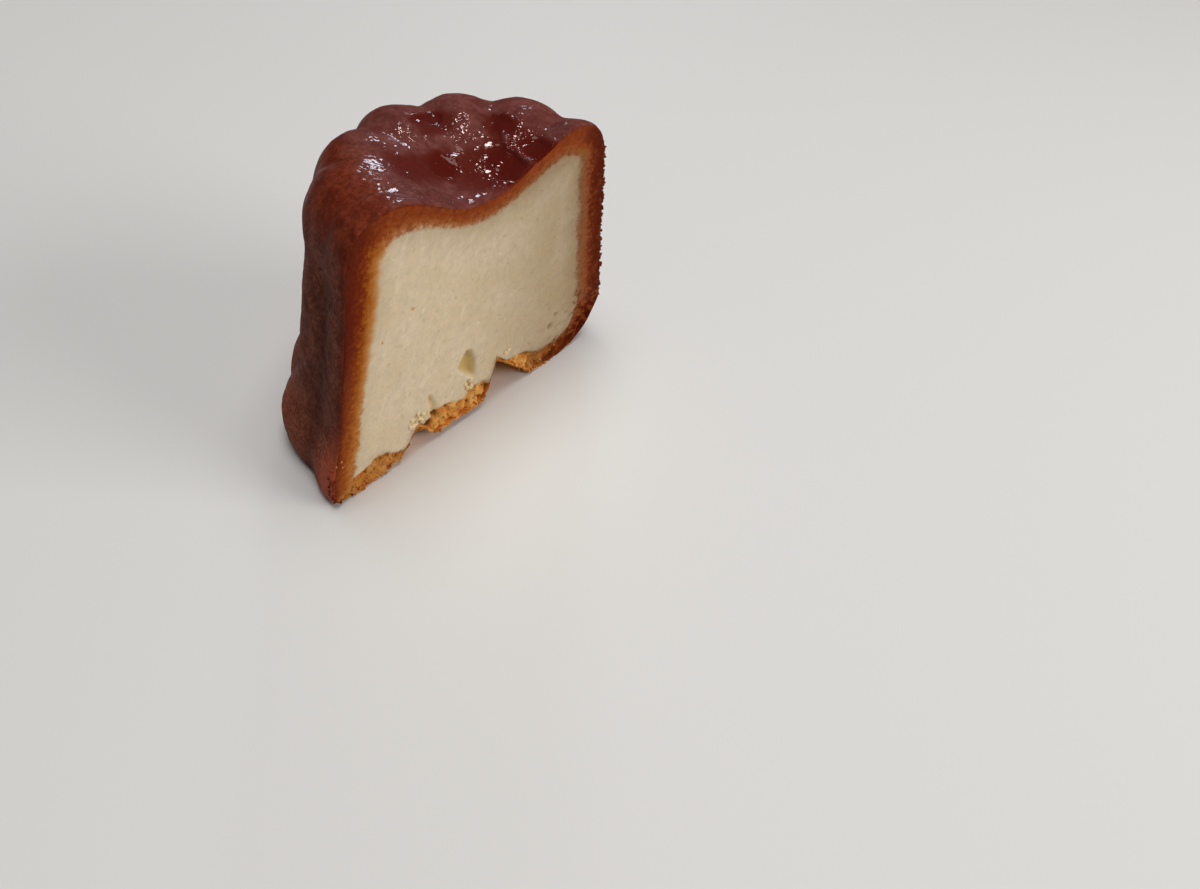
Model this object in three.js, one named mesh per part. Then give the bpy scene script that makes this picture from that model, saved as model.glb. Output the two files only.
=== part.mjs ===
// Half of a small fluted butter mochi cake, cut upright through its middle and standing on its base.
// Millimetres, +Z up. The cut face looks towards -Y, the narrow crown is up and the wide foot rests on
// Z = 0.
//
// The shape is worked out in the frame of the whole cake: its axis is x = 0, y = 0, and the cut lies in
// the plane y = 0. A point of the half has an azimuth, from 0 at the blunt end of the cut, on the side
// of +X, to PI at its pointed end, on the side of -X.
import * as THREE from "three";
import { mergeVertices } from "three/addons/utils/BufferGeometryUtils.js";

const { degToRad, lerp, smoothstep } = THREE.MathUtils;

// Body
const FOOT_RADIUS = 28.1; // on the crests of the flutes, at the base
const SIDE_DRAFT = 0.146; // the radius falls by this much for each millimetre of height
const POINTED_END_ROUND = { height: 1.6, width: 5 }; // rounding of the foot's edge at the pointed end
const BLUNT_END_ROUND = { height: 9, width: 9.5 };
const ROUND_GATHER = 2.5; // over 1 keeps the large rounding close to the blunt end
const LIP_PROUD = 2.1; // the foot swells out into a soft lip
const LIP_HEIGHT = 6; // of its fullest line
const LIP_REACH_UP = 3.6; // how softly it runs out above that line
const LIP_REACH_DOWN = 6.4;
const LIP_STARTS = { from: degToRad(5), to: degToRad(45) }; // azimuths where it rises from the blunt end
const LIP_ENDS = { from: degToRad(143), to: degToRad(185) }; // over which it sinks to the pointed end
const LIP_LEFT_AT_POINT = 0.2; // share of it that is left there

// Crown
const POINTED_RIM_HEIGHT = 44.5;
const BLUNT_RIM_HEIGHT = 42.4;
const RIM_GATHER = 2.2; // over 1 keeps the rim low for longer on its way up to the pointed end
const RIM_RADIUS = 16; // where the rim is highest
const SHOULDER_DROP = 9.4; // height over which the side rounds into the rim
const SHOULDER_FULLNESS = 2.4; // exponent of the rounding, 2 is an ellipse
const DIMPLE_HEIGHT = 38.7; // lowest point of the sunken top
const DIMPLE_WIDENING = 1.12; // over 1 keeps the dimple low for longer

// Flutes, as twelve on a whole cake, with a crest at either end of the cut
const FLUTES = 12;
const FLUTE_DEPTH_FOOT = 1.2;
const FLUTE_DEPTH_SHOULDER = 1.7;
const FLUTE_SOFTNESS = 0.16; // 0 is a sharp valley
const FLUTE_END = 0.5; // the valleys run in over the crown to this share of the rim's radius
const RIM_NOTCH = 1.0; // how far the rim dips between two crests
const CALM_AZIMUTHS = { from: degToRad(112), to: degToRad(145) }; // the valleys past these grow shallow
const CALM_HEIGHTS = { from: 27, to: 41 }; // on their way up over the shoulder
const CALM = 0.6; // share of their depth that is gone there
const CREST_PROUD = [-0.1, 0.5, 0.2, 0, -0.5, -0.15, 0.1]; // each crest, from the blunt end on

// Underside
const HOLLOW = { radius: 15, flatRadius: 6, height: 1.3 }; // a shallow hollow in the middle of the base
const TEAR = { x: 2.9, height: 8.6, steep: 1.6, slope: 8.3, depth: 6.5 }; // where the base tore
const CHIP = { x: -12.8, height: 5.6, steep: 2.4, slope: 4.6, depth: 3.2 };
const CRAGS = { height: 0.35, reach: 2.6, waves: [1.9, 0.77, 3.1] }; // crumbly edge of the base
const LIFT_REACH = 9; // above this height nothing on the underside moves the skin

// Cut face
const POCKET = { x: -2.7, z: 11.7, halfWidth: 2.0, halfHeight: 3.6, depth: 1.3 }; // an open bubble
const POCKET_RIM = { from: 0.45, to: 1.1 }; // its wall, as shares of its size
const FACE_HOLLOW = 0.25; // the soft crumb is drawn in a little between its crusts
const FACE_RIM = 8; // one part in this many of the face stays flat along its outline

// How finely it is divided
const STEPS_PER_FLUTE = 8;
const STEPS_ACROSS = 22; // from the axis out to the middle of the foot's or the shoulder's rounding
const STEPS_OF_ROUND = 3; // those of them that are on the rounding
const STEPS_UP = 20;

// 0 at the blunt end, 1 at the pointed end.
function towardsPoint(azimuth) {
  return (1 - Math.cos(azimuth)) / 2;
}

// 0 on a crest and nearly 1 in the valley between two.
function valley(azimuth) {
  const across = Math.cos((azimuth * FLUTES) / 2);
  return 1 - Math.sqrt(across * across + FLUTE_SOFTNESS * FLUTE_SOFTNESS * (1 - across * across));
}

// What is left of the depth of a valley at a height.
function calming(azimuth, z) {
  const late = smoothstep(azimuth, CALM_AZIMUTHS.from, CALM_AZIMUTHS.to);
  return 1 - CALM * late * smoothstep(z, CALM_HEIGHTS.from, CALM_HEIGHTS.to);
}

// How much further out than the mean each crest stands, carried smoothly from crest to crest.
function crestProud(azimuth) {
  const place = (azimuth / Math.PI) * (CREST_PROUD.length - 1);
  const from = Math.min(Math.floor(place), CREST_PROUD.length - 2);
  return lerp(CREST_PROUD[from], CREST_PROUD[from + 1], smoothstep(place - from, 0, 1));
}

function footRound(azimuth) {
  const blunt = Math.pow(1 - towardsPoint(azimuth), ROUND_GATHER);
  return {
    height: lerp(POINTED_END_ROUND.height, BLUNT_END_ROUND.height, blunt),
    width: lerp(POINTED_END_ROUND.width, BLUNT_END_ROUND.width, blunt),
  };
}

function rimHeight(azimuth) {
  return lerp(BLUNT_RIM_HEIGHT, POINTED_RIM_HEIGHT, Math.pow(towardsPoint(azimuth), RIM_GATHER));
}

// The lip runs round the outside and fades out towards both ends of the cut.
function lip(azimuth, z) {
  const fadeIn = smoothstep(azimuth, LIP_STARTS.from, LIP_STARTS.to);
  const fadeOut = 1 - (1 - LIP_LEFT_AT_POINT) * smoothstep(azimuth, LIP_ENDS.from, LIP_ENDS.to);
  const away = (z - LIP_HEIGHT) / (z > LIP_HEIGHT ? LIP_REACH_UP : LIP_REACH_DOWN);
  return LIP_PROUD * fadeIn * fadeOut * Math.exp(-away * away);
}

// Radius of the side at a height, flutes included. They can be as calm as at another height.
function sideRadius(azimuth, z, calmHeight = z) {
  const depth = lerp(FLUTE_DEPTH_FOOT, FLUTE_DEPTH_SHOULDER, z / POINTED_RIM_HEIGHT);
  const flute = crestProud(azimuth) - depth * calming(azimuth, calmHeight) * valley(azimuth);
  return FOOT_RADIUS - SIDE_DRAFT * z + flute + lip(azimuth, z);
}

// A torn place in the edge of the base: steep towards -X, sloping towards +X, and closing inwards.
function tornHeight(tear, x, y) {
  const inwards = Math.max(0, 1 - (y / tear.depth) ** 2);
  const steepSide = Math.exp(Math.min(0, x - tear.x) / tear.steep);
  const slopingSide = Math.max(0, 1 - (x - tear.x) / tear.slope);
  return tear.height * (x < tear.x ? steepSide : slopingSide) * inwards;
}

// Height of the underside over the table.
function baseHeight(x, y) {
  const radius = Math.hypot(x, y);
  const hollow = HOLLOW.height * (1 - smoothstep(radius, HOLLOW.flatRadius, HOLLOW.radius));
  const [coarse, slow, fine] = CRAGS.waves.map((wave) => Math.abs(Math.sin(wave * x + 1 / wave)));
  const nearCut = 1 - smoothstep(y, 0, CRAGS.reach);
  const crags = CRAGS.height * (coarse * slow + 0.3 * fine) * nearCut;
  return Math.max(hollow, crags, tornHeight(TEAR, x, y), tornHeight(CHIP, x, y));
}

// One point of the skin. The steps run from the axis out along the underside, up the side and in over
// the crown.
const STEPS_FLAT = STEPS_ACROSS - STEPS_OF_ROUND;
const SIDE_START = STEPS_ACROSS + STEPS_OF_ROUND;
const SIDE_END = STEPS_ACROSS + STEPS_UP - STEPS_OF_ROUND;
const SKIN_STEPS = 2 * STEPS_ACROSS + STEPS_UP;

function skinPoint(azimuth, step) {
  const round = footRound(azimuth);
  const rim = rimHeight(azimuth);
  const notch = RIM_NOTCH * valley(azimuth) * calming(azimuth, rim);
  const shoulderStart = rim - SHOULDER_DROP;
  let radius;
  let z = 0;
  if (step <= STEPS_FLAT) {
    radius = (sideRadius(azimuth, round.height) - round.width) * (step / STEPS_FLAT);
  } else if (step <= SIDE_START) {
    const turn = ((step - STEPS_FLAT) / (SIDE_START - STEPS_FLAT)) * (Math.PI / 2);
    radius = sideRadius(azimuth, round.height) - round.width * (1 - Math.sin(turn));
    z = round.height * (1 - Math.cos(turn));
  } else if (step < SIDE_END) {
    z = lerp(round.height, shoulderStart, (step - SIDE_START) / (SIDE_END - SIDE_START));
    radius = sideRadius(azimuth, z);
  } else if (step <= SKIN_STEPS - STEPS_FLAT) {
    const turn = ((step - SIDE_END) / (SKIN_STEPS - STEPS_FLAT - SIDE_END)) * (Math.PI / 2);
    const power = 2 / SHOULDER_FULLNESS;
    z = lerp(shoulderStart, rim - notch, Math.pow(Math.sin(turn), power));
    const side = sideRadius(azimuth, shoulderStart, z);
    radius = lerp(RIM_RADIUS, side, Math.pow(Math.cos(turn), power));
  } else {
    const share = (SKIN_STEPS - step) / STEPS_FLAT;
    radius = RIM_RADIUS * share;
    z = lerp(DIMPLE_HEIGHT, rim, smoothstep(Math.pow(share, DIMPLE_WIDENING), 0, 1));
    z -= notch * smoothstep(share, FLUTE_END, 1);
  }
  const x = radius * Math.cos(azimuth);
  const y = radius * Math.sin(azimuth);
  const lifted = baseHeight(x, y) * (1 - smoothstep(z, 0, LIFT_REACH));
  return new THREE.Vector3(x, Math.max(y, 0), z + lifted);
}

// How far the cut face is drawn in, behind the plane of the cut.
function faceRelief(x, z, across, up) {
  const inside = Math.min(1, FACE_RIM * Math.min(across, 1 - across, up, 1 - up));
  const hollow = FACE_HOLLOW * inside * Math.sin(Math.PI * across) * Math.sin(Math.PI * up);
  const distance = Math.hypot((x - POCKET.x) / POCKET.halfWidth, (z - POCKET.z) / POCKET.halfHeight);
  return hollow + POCKET.depth * inside * (1 - smoothstep(distance, POCKET_RIM.from, POCKET_RIM.to));
}

// The skin and the cut face as one closed surface. Both are grids, and the face's outline repeats the
// two ends of the skin.
function buildHalf() {
  const positions = [];
  const indices = [];

  function addGrid(columns, rows, pointAt) {
    const first = positions.length / 3;
    for (let column = 0; column <= columns; column++) {
      for (let row = 0; row <= rows; row++) {
        positions.push(...pointAt(column, row).toArray());
      }
    }
    for (let column = 0; column < columns; column++) {
      for (let row = 0; row < rows; row++) {
        const corner = first + column * (rows + 1) + row;
        const beside = corner + rows + 1;
        indices.push(corner, beside, beside + 1, corner, beside + 1, corner + 1);
      }
    }
  }

  const sectors = (FLUTES / 2) * STEPS_PER_FLUTE;
  addGrid(sectors, SKIN_STEPS, (column, row) => skinPoint((Math.PI * column) / sectors, row));

  // The cut face is stretched between its four sides, each a run of the skin's end profiles.
  const bluntEnd = (step) => skinPoint(0, step);
  const pointedEnd = (step) => skinPoint(Math.PI, step);
  const faceColumns = 2 * STEPS_ACROSS;
  const bottom = (column) =>
    column <= STEPS_ACROSS ? pointedEnd(STEPS_ACROSS - column) : bluntEnd(column - STEPS_ACROSS);
  const top = (column) =>
    column <= STEPS_ACROSS
      ? pointedEnd(STEPS_ACROSS + STEPS_UP + column)
      : bluntEnd(SKIN_STEPS + STEPS_ACROSS - column);
  const left = (row) => pointedEnd(STEPS_ACROSS + row);
  const right = (row) => bluntEnd(STEPS_ACROSS + row);

  function facePoint(column, row) {
    const across = column / faceColumns;
    const up = row / STEPS_UP;
    const point = new THREE.Vector3();
    point.addScaledVector(bottom(column), 1 - up);
    point.addScaledVector(top(column), up);
    point.addScaledVector(left(row), 1 - across);
    point.addScaledVector(right(row), across);
    point.addScaledVector(bottom(0), -(1 - across) * (1 - up));
    point.addScaledVector(bottom(faceColumns), -across * (1 - up));
    point.addScaledVector(top(0), -(1 - across) * up);
    point.addScaledVector(top(faceColumns), -across * up);
    point.y = faceRelief(point.x, point.z, across, up);
    return point;
  }
  addGrid(faceColumns, STEPS_UP, facePoint);

  const loose = new THREE.BufferGeometry();
  loose.setAttribute("position", new THREE.Float32BufferAttribute(positions, 3));
  loose.setIndex(indices);
  return withoutSlivers(mergeVertices(loose, 1e-3));
}

// Rings shrink to a point on the axis, which leaves triangles with two equal corners: those are dropped.
function withoutSlivers(geometry) {
  const kept = [];
  const corners = geometry.index.array;
  for (let i = 0; i < corners.length; i += 3) {
    const [a, b, c] = [corners[i], corners[i + 1], corners[i + 2]];
    if (a !== b && b !== c && c !== a) {
      kept.push(a, b, c);
    }
  }
  geometry.setIndex(kept);
  return geometry;
}

const crust = new THREE.MeshStandardMaterial({ color: 0x5c2a20, roughness: 0.45, metalness: 0 });
const half = new THREE.Mesh(buildHalf(), crust);
half.name = "butter_mochi_half";

// The part's origin is at the middle of the base of its box.
half.geometry.computeBoundingBox();
const box = half.geometry.boundingBox;
half.position.set(-(box.min.x + box.max.x) / 2, -(box.min.y + box.max.y) / 2, -box.min.z);
half.geometry.computeVertexNormals();

const group = new THREE.Group();
group.name = "butter_mochi";
group.add(half);

export default group;
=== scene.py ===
"""Looks of a halved butter mochi cake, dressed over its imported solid.

Shapes are worked out in millimetres in the cake's own frame: the axis of the whole cake is x = 0, y = 0,
the cut lies in the plane y = 0 with the half behind it, and the cake stands on z = 0. An azimuth is 0 at the
blunt end of the cut, on the side of +X, and pi at its pointed end. Meshes are turned into metres of the
shared frame at the end.
"""

import logging
import math
from dataclasses import dataclass, field
from enum import Enum, IntEnum
from functools import partial

import bmesh
import bpy
import numpy as np
from bpy.types import Material, Mesh, Node, NodeSocket, NodeTree, Object
from mathutils import Matrix, Vector, noise
from mathutils.kdtree import KDTree


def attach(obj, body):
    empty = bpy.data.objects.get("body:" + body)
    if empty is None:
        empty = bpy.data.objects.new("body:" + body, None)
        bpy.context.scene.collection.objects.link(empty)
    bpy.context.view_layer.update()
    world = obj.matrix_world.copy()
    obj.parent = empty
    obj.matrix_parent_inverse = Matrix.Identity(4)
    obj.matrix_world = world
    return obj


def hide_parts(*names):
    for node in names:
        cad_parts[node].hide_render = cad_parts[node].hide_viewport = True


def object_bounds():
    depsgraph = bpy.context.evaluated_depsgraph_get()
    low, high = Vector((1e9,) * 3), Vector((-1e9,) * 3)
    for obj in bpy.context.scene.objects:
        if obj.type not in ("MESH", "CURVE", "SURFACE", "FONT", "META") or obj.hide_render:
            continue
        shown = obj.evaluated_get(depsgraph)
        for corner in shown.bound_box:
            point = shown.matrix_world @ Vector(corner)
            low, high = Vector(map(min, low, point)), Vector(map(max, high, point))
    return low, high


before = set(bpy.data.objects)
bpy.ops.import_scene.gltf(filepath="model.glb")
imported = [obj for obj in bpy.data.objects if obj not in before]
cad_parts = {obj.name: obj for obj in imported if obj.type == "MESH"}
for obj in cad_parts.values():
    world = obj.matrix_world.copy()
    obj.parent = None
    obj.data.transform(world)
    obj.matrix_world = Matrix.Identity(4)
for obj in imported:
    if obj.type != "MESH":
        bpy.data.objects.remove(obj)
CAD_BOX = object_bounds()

log = logging.getLogger("butter_mochi")

CAKE_NODE = "butter_mochi_half"
ROOT = "root"
MM = 0.001  # metres in a millimetre
CAKE_AXIS_X = 0.76  # mm, from the middle of the box to the axis of the whole cake

Points = np.ndarray
Values = np.ndarray
Place = tuple[float, float, float]
Span = tuple[float, float]
Line = tuple[Span, ...]
Colour = tuple[float, float, float, float]
Ramp = tuple[tuple[float, Colour], ...]


class Stretch(IntEnum):
    """Stretches of the skin's profile, from the axis under the cake, up the side and in over the crown."""

    UNDERSIDE = 0
    FOOT = 1
    SIDE = 2
    SHOULDER = 3
    CROWN = 4


class Slot(Enum):
    """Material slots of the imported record."""

    CRUST = "crust"
    CRUMB = "crumb"


class Mask(Enum):
    """Values painted on the vertices of the cake, which its finishes read."""

    DEPTH = "crust_depth"  # on the cut 0 at the skin, 1 where the crust ends and the crumb begins
    GOLD = "gold"  # on the skin 1 where it stayed golden; on the cut 0 dark crust, a half pale, 1 golden
    TOAST_AND_SHADE = "toast_and_shade"  # on the cut 1 where the crumb is darkest: painted shade towards the blunt end and the top, toasting near the crust, and the tint of bare crumb
    COARSE = "coarse"  # on the cut 1 where the crust crumbles, on the crown 1 where the glaze blistered
    GLAZE = "glaze"  # 0 on dry crust, 1 on the crown and on the cut just below it
    WET = "wet"  # 1 where the glaze shines
    POOL = "pool"  # on the crown 1 where the glaze is deepest, a half where it is redder; 1 in the bubble
    HOLLOW_SHADE = "hollow"  # painted shade: 1 in pits, flute valleys and crevices, 1.2 in the darkest gaps of the cut; also the darker ends of the base
    CALM = "calm"  # 1 where the glaze has no wrinkles
    FOOT = "foot"  # 1 low on the side, where the skin is painted lighter
    RED = "red"  # 1 where the skin shows red; on the cut, at its blunt side


Painting = dict[Mask, Values]


def smooth(value: Values, low: float, high: float) -> Values:
    """Rises from 0 at low to 1 at high without a corner."""
    share = np.clip((value - low) / (high - low), 0.0, 1.0)
    return share * share * (3.0 - 2.0 * share)


def fall(value: Values, low: float, high: float) -> Values:
    """Falls from 1 at low to 0 at high without a corner."""
    return 1.0 - smooth(value, low, high)


def bump(value: Values, middle: float, reach: float) -> Values:
    """Is 1 at the middle and falls to 0 on both sides of it over the reach."""
    return np.exp(-(((value - middle) / reach) ** 2))


def ripple(points: Points, size: float, lot: int) -> Values:
    """Soft noise over points in space.

    Args:
        points: N points, in mm.
        size: width of one wave, in mm.
        lot: which of the patterns, so that two effects don't coincide.

    Returns:
        One value for each point, from about -1 to 1.
    """
    shift = Vector((17.3 * lot, 5.9 * lot, 11.1 * lot))
    return np.array([noise.noise(Vector(p) / size + shift) for p in points])


def cells(points: Points, size: float, lot: int) -> tuple[Values, Values]:
    """Divides space into irregular cells.

    Args:
        points: N points, in mm.
        size: mean width of a cell, in mm.
        lot: which of the patterns.

    Returns:
        For each point the distance from the heart of its cell, in cell widths, and a number from 0 to 1 that
        is the same all over one cell.
    """
    shift = Vector((7.7 * lot, 13.1 * lot, 3.3 * lot))
    found = [noise.voronoi(Vector(point) / size + shift) for point in points]
    away = np.array([distances[0] for distances, _ in found])
    return away, np.array([noise.cell(hearts[0] * 7.31) for _, hearts in found])


def crumbs(points: Points, size: float, lot: int) -> Values:
    """Rounded crumbs, packed side by side.

    Args:
        points: N points, in mm.
        size: mean width of a crumb, in mm.
        lot: which of the patterns.

    Returns:
        For each point 0 in the creases between crumbs, rising to 1 on their tops.
    """
    shift = Vector((4.1 * lot, 9.7 * lot, 6.3 * lot))
    found = [noise.voronoi(Vector(point) / size + shift)[0] for point in points]
    gaps = np.array([distances[1] - distances[0] for distances in found])
    return 1.0 - (1.0 - np.clip(gaps / 0.6, 0.0, 1.0)) ** 2


@dataclass(frozen=True)
class Tear:
    """A torn place of the base: steep on its side of -X, sloping towards +X, closing inwards. Sizes in mm."""

    middle: float
    height: float
    steep: float
    slope: float
    depth: float

    def lift(self, x: Values, y: Values) -> Values:
        """Height of the torn place.

        Args:
            x: places along the cut.
            y: places inwards from the cut.

        Returns:
            How far the base is gone at each place.
        """
        inwards = np.maximum(0.0, 1.0 - (y / self.depth) ** 2)
        rising = np.exp(np.minimum(0.0, x - self.middle) / self.steep)
        falling = np.maximum(0.0, 1.0 - (x - self.middle) / self.slope)
        return self.height * np.where(x < self.middle, rising, falling) * inwards


@dataclass(frozen=True)
class CakeForm:
    """The form of the half cake, as its solid has it. Sizes in mm, angles in radians."""

    foot_radius: float = 28.1
    side_draft: float = 0.146
    pointed_round: Span = (1.6, 5.0)  # height and width of the rounding of the foot
    blunt_round: Span = (9.0, 9.5)
    round_gather: float = 2.5
    lip_proud: float = 2.1
    lip_height: float = 6.0
    lip_reach_up: float = 3.6
    lip_reach_down: float = 6.4
    lip_starts: Span = (math.radians(5), math.radians(45))
    lip_ends: Span = (math.radians(143), math.radians(185))
    lip_left_at_point: float = 0.2
    pointed_rim: float = 44.5
    blunt_rim: float = 42.4
    rim_gather: float = 2.2
    rim_radius: float = 16.0
    shoulder_drop: float = 9.4
    shoulder_fullness: float = 2.4
    dimple_height: float = 38.7
    dimple_widening: float = 1.12
    flutes: int = 12
    flute_depth_foot: float = 1.2
    flute_depth_shoulder: float = 1.7
    flute_softness: float = 0.16
    flute_end: float = 0.5
    rim_notch: float = 1.0
    calm_azimuths: Span = (math.radians(112), math.radians(145))
    calm_heights: Span = (27.0, 41.0)
    calm: float = 0.6  # share of the last valleys that is gone on the shoulder
    crest_proud: tuple[float, ...] = (-0.1, 0.5, 0.2, 0.0, -0.5, -0.15, 0.1)
    hollow_radii: Span = (6.0, 15.0)
    hollow_height: float = 1.3
    tears: tuple[Tear, ...] = (Tear(2.9, 8.6, 1.6, 8.3, 6.5), Tear(-12.8, 5.6, 2.4, 4.6, 3.2))
    lift_reach: float = 9.0

    def toward_point(self, azimuth: Values) -> Values:
        """0 at the blunt end and 1 at the pointed end."""
        return (1.0 - np.cos(azimuth)) / 2.0

    def valley(self, azimuth: Values) -> Values:
        """0 on the crest of a flute and nearly 1 in the valley between two."""
        across = np.cos(azimuth * self.flutes / 2.0) ** 2
        return 1.0 - np.sqrt(across + self.flute_softness**2 * (1.0 - across))

    def calming(self, azimuth: Values, z: Values) -> Values:
        """What is left of a valley at a height: the last ones all but run out below the shoulder."""
        return 1.0 - self.calm * smooth(azimuth, *self.calm_azimuths) * smooth(z, *self.calm_heights)

    def proud(self, azimuth: Values) -> Values:
        """How far each crest stands out beyond the mean, carried smoothly from crest to crest.

        Args:
            azimuth: angles round the axis.

        Returns:
            What each angle adds to the radius.
        """
        place = np.abs(azimuth) / math.pi * (len(self.crest_proud) - 1)
        start = np.minimum(place.astype(int), len(self.crest_proud) - 2)
        table = np.array(self.crest_proud)
        share = smooth(place - start, 0.0, 1.0)
        return table[start] * (1.0 - share) + table[start + 1] * share

    def foot_round(self, azimuth: Values) -> tuple[Values, Values]:
        """Rounding between the underside and the side.

        Args:
            azimuth: angles round the axis.

        Returns:
            Its height and its width at each angle.
        """
        blunt = (1.0 - self.toward_point(azimuth)) ** self.round_gather
        height, width = (a + (b - a) * blunt for a, b in zip(self.pointed_round, self.blunt_round))
        return height, width

    def rim(self, azimuth: Values) -> Values:
        """Height of the rim, without the notches between its lobes."""
        rise = self.pointed_rim - self.blunt_rim
        return self.blunt_rim + rise * self.toward_point(azimuth) ** self.rim_gather

    def lip(self, azimuth: Values, z: Values) -> Values:
        """How far the foot swells out.

        Args:
            azimuth: angles round the axis.
            z: heights.

        Returns:
            What the lip adds to the radius.
        """
        fade_in = smooth(azimuth, *self.lip_starts)
        fade_out = 1.0 - (1.0 - self.lip_left_at_point) * smooth(azimuth, *self.lip_ends)
        reach = np.where(z > self.lip_height, self.lip_reach_up, self.lip_reach_down)
        return self.lip_proud * fade_in * fade_out * bump(z, self.lip_height, reach)

    def side(self, azimuth: Values, z: Values, calm_z: Values) -> Values:
        """Radius of the side.

        Args:
            azimuth: angles round the axis.
            z: heights.
            calm_z: heights whose calmness the flutes have.

        Returns:
            The radius at each angle and height.
        """
        deepening = self.flute_depth_shoulder - self.flute_depth_foot
        depth = (self.flute_depth_foot + deepening * z / self.pointed_rim) * self.calming(azimuth, calm_z)
        flute = self.proud(azimuth) - depth * self.valley(azimuth)
        return self.foot_radius - self.side_draft * z + flute + self.lip(azimuth, z)

    def lift(self, x: Values, y: Values) -> Values:
        """Height of the underside over what the cake stands on."""
        hollow = self.hollow_height * fall(np.hypot(x, y), *self.hollow_radii)
        return np.max([hollow, *(tear.lift(x, y) for tear in self.tears)], axis=0)

    def skin(self, azimuth: Values, path: Values) -> Points:
        """Points of the skin.

        Args:
            azimuth: angle of each point round the axis.
            path: its place along the profile; the whole part is the Stretch and the rest the share of it.

        Returns:
            One point for each pair of values, in mm.
        """
        round_height, round_width = self.foot_round(azimuth)
        rim = self.rim(azimuth)
        notch = self.rim_notch * self.valley(azimuth) * self.calming(azimuth, rim)
        shoulder = rim - self.shoulder_drop
        flat_radius = self.side(azimuth, round_height, round_height) - round_width

        under, foot, up, over, inwards = (np.clip(path - stretch, 0.0, 1.0) for stretch in Stretch)
        foot = foot * math.pi / 2.0
        over = over * math.pi / 2.0
        share = 1.0 - inwards

        side_z = round_height + (shoulder - round_height) * up
        power = 2.0 / self.shoulder_fullness
        side_share = np.clip(np.cos(over), 0.0, 1.0) ** power
        over_z = shoulder + (rim - notch - shoulder) * np.sin(over) ** power
        over_radius = self.rim_radius + (self.side(azimuth, shoulder, over_z) - self.rim_radius) * side_share
        rise = smooth(share**self.dimple_widening, 0.0, 1.0)
        crown_z = self.dimple_height + (rim - self.dimple_height) * rise
        crown_z -= notch * smooth(share, self.flute_end, 1.0)

        stretches = [path <= end for end in (Stretch.FOOT, Stretch.SIDE, Stretch.SHOULDER, Stretch.CROWN)]
        foot_radius = flat_radius + round_width * np.sin(foot)
        radii = [flat_radius * under, foot_radius, self.side(azimuth, side_z, side_z), over_radius]
        radius = np.select(stretches, radii, self.rim_radius * share)
        foot_z = round_height * (1.0 - np.cos(foot))
        z = np.select(stretches, [0.0 * under, foot_z, side_z, over_z], crown_z)
        x = radius * np.cos(azimuth)
        y = np.maximum(radius * np.sin(azimuth), 0.0)
        z += self.lift(x, y) * fall(z, 0.0, self.lift_reach)
        return np.stack([x, y, z], axis=1)


@dataclass(frozen=True)
class CrustMap:
    """How thick the baked crust is round the cut, in mm, as pairs of a place and a thickness."""

    base: Line = (
        *((-26.0, 3.6), (-17.5, 3.7), (-16.0, 2.0), (-15.0, 0.5), (-11.6, 0.5), (-10.0, 2.0), (0.0, 2.0)),
        *((1.4, 0.4), (4.8, 0.4), (7.0, 2.3), (9.5, 3.8), (14.0, 3.8), (17.4, 3.7), (21.0, 4.2)),
    )  # by x along the bottom of the cut
    pointed_side: Line = (
        *((Stretch.FOOT + 0.5, 3.4), (Stretch.SIDE + 0.4, 3.7), (Stretch.SIDE + 0.6, 4.0)),
        *((Stretch.SIDE + 0.8, 4.7), (Stretch.SHOULDER + 0.2, 5.4), (Stretch.SHOULDER + 0.8, 5.5)),
        *((Stretch.CROWN, 4.9), (Stretch.CROWN + 0.2, 3.7), (Stretch.CROWN + 0.4, 2.9)),
        *((Stretch.CROWN + 0.6, 2.7), (Stretch.CROWN + 1.0, 3.0)),
    )  # by place on the profile
    blunt_side: Line = (
        *((Stretch.FOOT + 0.2, 4.2), (Stretch.FOOT + 0.7, 6.0), (Stretch.SIDE + 0.4, 5.7)),
        *((Stretch.SIDE + 0.8, 5.5), (Stretch.SHOULDER + 0.2, 5.4), (Stretch.SHOULDER + 0.8, 5.0)),
        *((Stretch.CROWN, 4.4), (Stretch.CROWN + 0.2, 3.3), (Stretch.CROWN + 0.4, 2.8)),
        *((Stretch.CROWN + 1.0, 3.0),),
    )

    def thickness(self, x: Values, path: Values) -> Values:
        """Thickness of the crust inside the cut's outline.

        Args:
            x: places of points of the outline along the cut.
            path: their places on the profile.

        Returns:
            The thickness at each point.
        """
        base = np.interp(x, *zip(*self.base))
        pointed = np.interp(path, *zip(*self.pointed_side))
        blunt = np.interp(path, *zip(*self.blunt_side))
        up = smooth(path, Stretch.FOOT, Stretch.FOOT + 0.6)
        return base * (1.0 - up) + np.where(x < 0.0, pointed, blunt) * up


def deselect_all() -> None:
    """Leaves nothing selected, since an operator acts on all that is."""
    if bpy.context.mode != "OBJECT":
        bpy.ops.object.mode_set(mode="OBJECT")
    bpy.ops.object.select_all(action="DESELECT")


def make_active(obj: Object) -> None:
    """Selects one object and nothing else.

    Args:
        obj: the object.
    """
    deselect_all()
    obj.select_set(True)
    bpy.context.view_layer.objects.active = obj


def edit_all(obj: Object) -> None:
    """Opens one object in edit mode with all of it selected.

    Args:
        obj: the object.
    """
    make_active(obj)
    bpy.ops.object.mode_set(mode="EDIT")
    bpy.ops.mesh.select_mode(type="VERT")
    bpy.ops.mesh.select_all(action="SELECT")


def read_floats(rows: bpy.types.bpy_prop_collection, key: str, width: int) -> Values:
    """Reads one property of all items of a list.

    Args:
        rows: the list, such as the vertices of a mesh.
        key: the property's name.
        width: how many numbers each item has.

    Returns:
        A row for each item, or one number for each if the width is 1.
    """
    flat = np.empty(len(rows) * width, np.float32)
    rows.foreach_get(key, flat)
    return (flat.reshape(-1, width) if width > 1 else flat).astype(float)


def read_points(mesh: Mesh) -> Points:
    """Vertices of a mesh in mm."""
    return read_floats(mesh.vertices, "co", 3) / MM


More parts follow.
